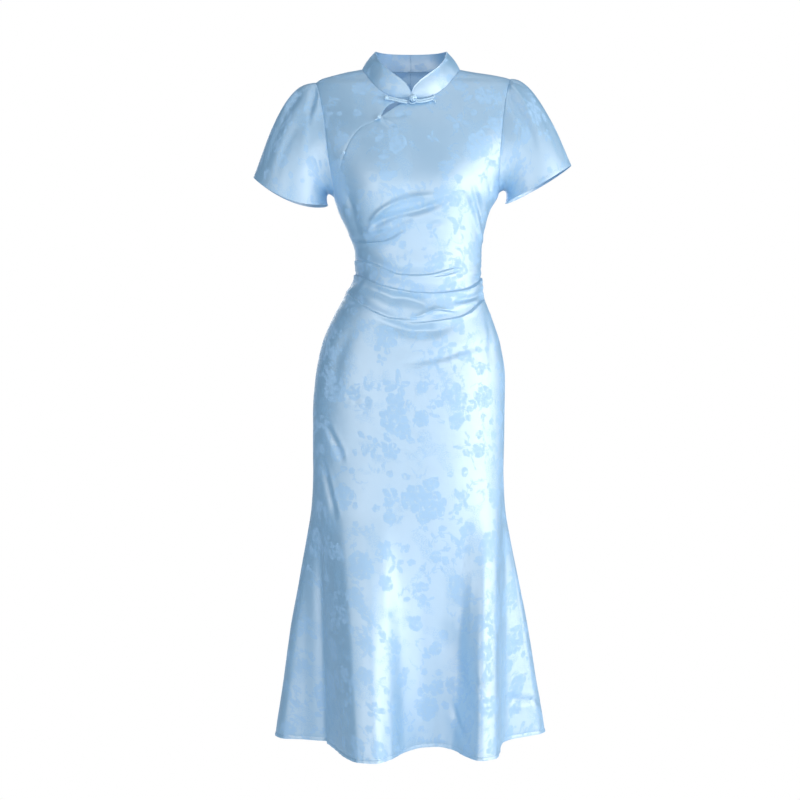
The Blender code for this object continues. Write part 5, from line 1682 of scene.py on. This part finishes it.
def sprays(maker, place, spread):
    """Curved stems with pairs of pointed leaves that shrink towards the tip."""
    x, y, here, grow = scattered(maker, place, spread)
    half = (grow * SPRAY_GROWTH[0] + SPRAY_GROWTH[1]) * spread.size
    bent = y + x * x * (grow - 0.5) * (STEM_BEND / spread.size)
    taper = 1 - (x / half + 1) * STEM_TAPER
    step = spread.size * LEAF_STEP
    along_stem = maker.one("FLOORED_MODULO", x, step) - step / 2
    off = maker.one("ABSOLUTE", bent)
    along = off * LEAF_SLANT[0] + along_stem * LEAF_SLANT[1]
    along = along / (taper * (spread.size * LEAF_LENGTH))
    across = maker.one("ABSOLUTE", off * -LEAF_SLANT[1] + along_stem * LEAF_SLANT[0])
    width = maker.one("SINE", along.clamped() * math.pi) * taper * (spread.size * LEAF_WIDTH)
    leaf = within(width - across) * (1 - (LEAF_VEIN > across) * VEIN_STRENGTH)
    stem = within(STEM_HALF - off)
    inside = within(half - maker.one("ABSOLUTE", x))
    return maker.most(leaf, stem) * inside * here


def oval(first, second, wing):
    """Above 0 inside an oval, by its middle and the squares of its two halves."""
    first, second = first - wing[0], second - wing[1]
    return 1 - (first * first / wing[2] + second * second / wing[3])


def moths(maker, place, spread):
    """Butterflies: two upper and two lower wings with pale veins, and a slim body."""
    x, y, here, grow = scattered(maker, place, spread)
    span = (grow * MOTH_GROWTH[0] + MOTH_GROWTH[1]) * spread.size
    side = maker.one("ABSOLUTE", x) / span
    up = y / span
    upper = oval(side + up * 0.35, up - side * 0.62, UPPER_WING)
    lower = oval(side, up + side * 0.35, LOWER_WING)
    trunk = 1 - (side * side / MOTH_TRUNK[0] + up * up / MOTH_TRUNK[1])
    distance, angle = polar(maker, side, up)
    veins = maker.one("SINE", angle * WING_VEINS) > WING_VEIN_WIDTH
    veins = veins * (distance > WING_VEIN_START) * WING_VEIN_STRENGTH
    wings = within(maker.most(upper, lower) * (span * WING_EDGE)) * (1 - veins)
    return maker.most(wings, within(trunk * (span * WING_EDGE))) * here


print("motifs: flowers, sprays and butterflies")

# %% Lay all the motifs on the cloth
KINDS = [
    (blossoms, BIG_FLOWERS),
    (sprays, SPRAYS),
    (blossoms, FLOWERS),
    (blossoms, SMALL_FLOWERS),
    (sprays, TWIGS),
    (moths, MOTHS),
    (moths, SMALL_MOTHS),
]
BEND_SCALE, BEND_SIZE = 42.0, 0.013
SPECKLE_SCALE, ZONE_SCALE, PATCH_SCALE = 520.0, 22.0, 130.0


def jacquard(maker, place):
    """All the motifs together: 1 in a motif, 0 on the ground; noise bends and breaks their edges."""
    bend = maker.vector("SUBTRACT", maker.noise(place, BEND_SCALE, 4.0, 1), (0.5, 0.5, 0.5))
    place = maker.vector("ADD", place, maker.vector("MULTIPLY", bend, (BEND_SIZE, BEND_SIZE, 0)))
    whole = maker.most(*[motif(maker, place, spread) for motif, spread in KINDS])
    broken = ((maker.noise(place, PATCH_SCALE, 3.0) - 0.29) * 5).clamped()
    speckle = ((maker.noise(place, SPECKLE_SCALE, 1.0) - 0.47) * 8).clamped()
    haze = ((maker.noise(place, ZONE_SCALE, 2.0) - 0.56) * 14).clamped() * speckle * 0.6
    return maker.most(whole * broken, haze).clamped()


print(len(KINDS), "kinds of motif")

# %% [markdown]
# ## Satin, cord and thread
# Satin shines because long threads lie side by side on its face: a broad, nearly white gloss lies over
# the thread's own strong blue. Two surfaces are mixed for that, a dull blue one and a medium-rough
# metallic one, and the motifs have little of the second. A faint fine weave roughens the normal.

# %% Finishes
GROUND = (0.080, 0.365, 0.680, 1)
MOTIF = (0.370, 0.580, 0.820, 1)
DULL_ROUGH = 0.70
GLOSS_TONE = (0.94, 0.96, 0.96, 1)
GLOSS_ROUGH = 0.56
GLOSS, MOTIF_GLOSS = 0.47, 0.05
WEAVE = 1400.0
WEFT_SHARE, WEFT_HEIGHT = 0.45, 0.5
WEAVE_BUMP = 0.05
SATIN_SHEEN = 0.08
CORD_SLANT = (0.4, 0.7)
CORD_BUMP, CORD_METAL, CORD_SHEEN = 0.3, 0.35, 0.3
CORD_ROUGH, CORD_ROUGH_CHANGE = 0.40, 0.06
# the cord's tone in the grooves between its turns, and a lighter one on their crests: the change between
# them is painted shade and highlight
CORD_TONE = (0.46, 0.68, 0.88, 1)
CORD_CREST_HIGHLIGHT = (0.66, 0.83, 0.96, 1)
# the stitches' own dark thread, which also paints shade on the neck's seam lines
THREAD_AND_SEAM_SHADE_TONE = (0.20, 0.38, 0.58, 1)


def satin(name):
    """The jacquard satin: a dull blue cloth under a broad pale gloss that the motifs lack."""
    maker = Maker(name)
    place = maker.flat_cloth()
    motif = jacquard(maker, place)
    x, y, _ = maker.parts(place)
    warp = maker.one("SINE", x * (WEAVE * math.pi))
    weft = maker.one("SINE", y * (WEAVE * WEFT_SHARE * math.pi))
    bump = maker.bump(WEAVE_BUMP, warp + weft * WEFT_HEIGHT + motif)
    dull = maker.shader
    maker.join(maker.colour(motif, GROUND, MOTIF), dull.inputs["Base Color"])
    maker.join(bump, dull.inputs["Normal"])
    dull.inputs["Roughness"].default_value = DULL_ROUGH
    dull.inputs["Sheen Weight"].default_value = SATIN_SHEEN
    gloss = maker.tree.nodes.new("ShaderNodeBsdfPrincipled")
    gloss.inputs["Base Color"].default_value = GLOSS_TONE
    gloss.inputs["Metallic"].default_value = 1.0
    gloss.inputs["Roughness"].default_value = GLOSS_ROUGH
    maker.join(bump, gloss.inputs["Normal"])
    shine = motif * (MOTIF_GLOSS - GLOSS) + GLOSS
    surfaces = {0: shine, 1: Wire(maker, dull.outputs[0]), 2: Wire(maker, gloss.outputs[0])}
    both = maker.node("ShaderNodeMixShader", {}, surfaces)
    maker.join(both, maker.tree.nodes["Material Output"].inputs["Surface"])
    print(name, "nodes:", len(maker.tree.nodes))
    return maker.material


def cord_satin(name, dark, light, scale):
    """A wound cord: fine turns of thread that run round it, with painted shade in the grooves and
    painted highlight on the crests.
    """
    maker = Maker(name)
    x, y, z = maker.parts(maker.flat_cloth())
    sockets = maker.shader.inputs
    turns = maker.one("SINE", (x + z * CORD_SLANT[1] + y * CORD_SLANT[0]) * scale)
    # Base Color follows the turns' height: painted shade in the grooves, painted highlight on the crests
    maker.join(maker.colour(turns * 0.5 + 0.5, dark, light), sockets["Base Color"])
    maker.join(turns * CORD_ROUGH_CHANGE + CORD_ROUGH, sockets["Roughness"])
    maker.join(maker.bump(CORD_BUMP, turns), sockets["Normal"])
    sockets["Metallic"].default_value = CORD_METAL
    sockets["Sheen Weight"].default_value = CORD_SHEEN
    return maker.material


finishes = {
    "satin": satin("blue_jacquard_satin"),
    "cord": cord_satin("wound_satin_cord", CORD_TONE, CORD_CREST_HIGHLIGHT, 9000.0),
    # thread for the stitches, and painted shade on the neck's seam lines
    "thread": cord_satin("sewing_thread_and_seam_shade", THREAD_AND_SEAM_SHADE_TONE, CORD_CREST_HIGHLIGHT, 14000.0),
}
print("finishes:", list(finishes))

# %% [markdown]
# ## Put each piece in its solid's place
# Every piece rides on the one body, and each cloth or cord piece takes its solid's place. A sheet's
# flat size is what a cutter would lay out for it: the widest row, and the longest line.

# %% Hand the pieces over
Cut = namedtuple("Cut", "piece node width length area held")
CUTS = [
    Cut("front_satin", "front", 0.78, 1.28, 0.640, "hung"),
    Cut("front_yoke_satin", "front_yoke", 0.16, 0.27, 0.022, "hung"),
    Cut("back_right_satin", "back_right", 0.44, 1.27, 0.345, "hung"),
    Cut("back_left_satin", "back_left", 0.44, 1.27, 0.345, "hung"),
    Cut("sleeve_right_satin", "sleeve_right", 0.40, 0.24, 0.060, "gathered"),
    Cut("sleeve_left_satin", "sleeve_left", 0.40, 0.24, 0.060, "gathered"),
    Cut("collar_right_satin", "collar_right", 0.22, 0.05, 0.0085, "stretched"),
    Cut("collar_left_satin", "collar_left", 0.22, 0.05, 0.0085, "stretched"),
]
TRIMS = {
    "frog_loop_cord": "frog_loop",
    "frog_knot_cord": "frog_knot",
    "keyhole_button_cord": "keyhole_button",
    "placket_button_cord": "placket_button",
}


def cloth_area(piece):
    """The area of one face of a thin closed piece."""
    return sum(polygon.area for polygon in piece.data.polygons) / 2


for cut in CUTS:
    piece = pieces[cut.piece]
    piece.data.materials.append(finishes["satin"])
    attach(piece, "root")
    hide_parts(cut.node)
    print(cut.piece, "cloth", round(cloth_area(piece), 4), "cut", cut.area, "square metres")
for name, node in TRIMS.items():
    piece = pieces[name]
    piece.data.materials.append(finishes["cord"])
    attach(piece, "root")
    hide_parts(node)
# the thread finish also gives the painted seam shade inside the neck its dark tone
for name in ("neck_seam_painted_shade", "hem_stitches", "cuff_stitches_right", "cuff_stitches_left"):
    piece = pieces[name]
    piece.data.materials.append(finishes["thread"])
    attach(piece, "root")
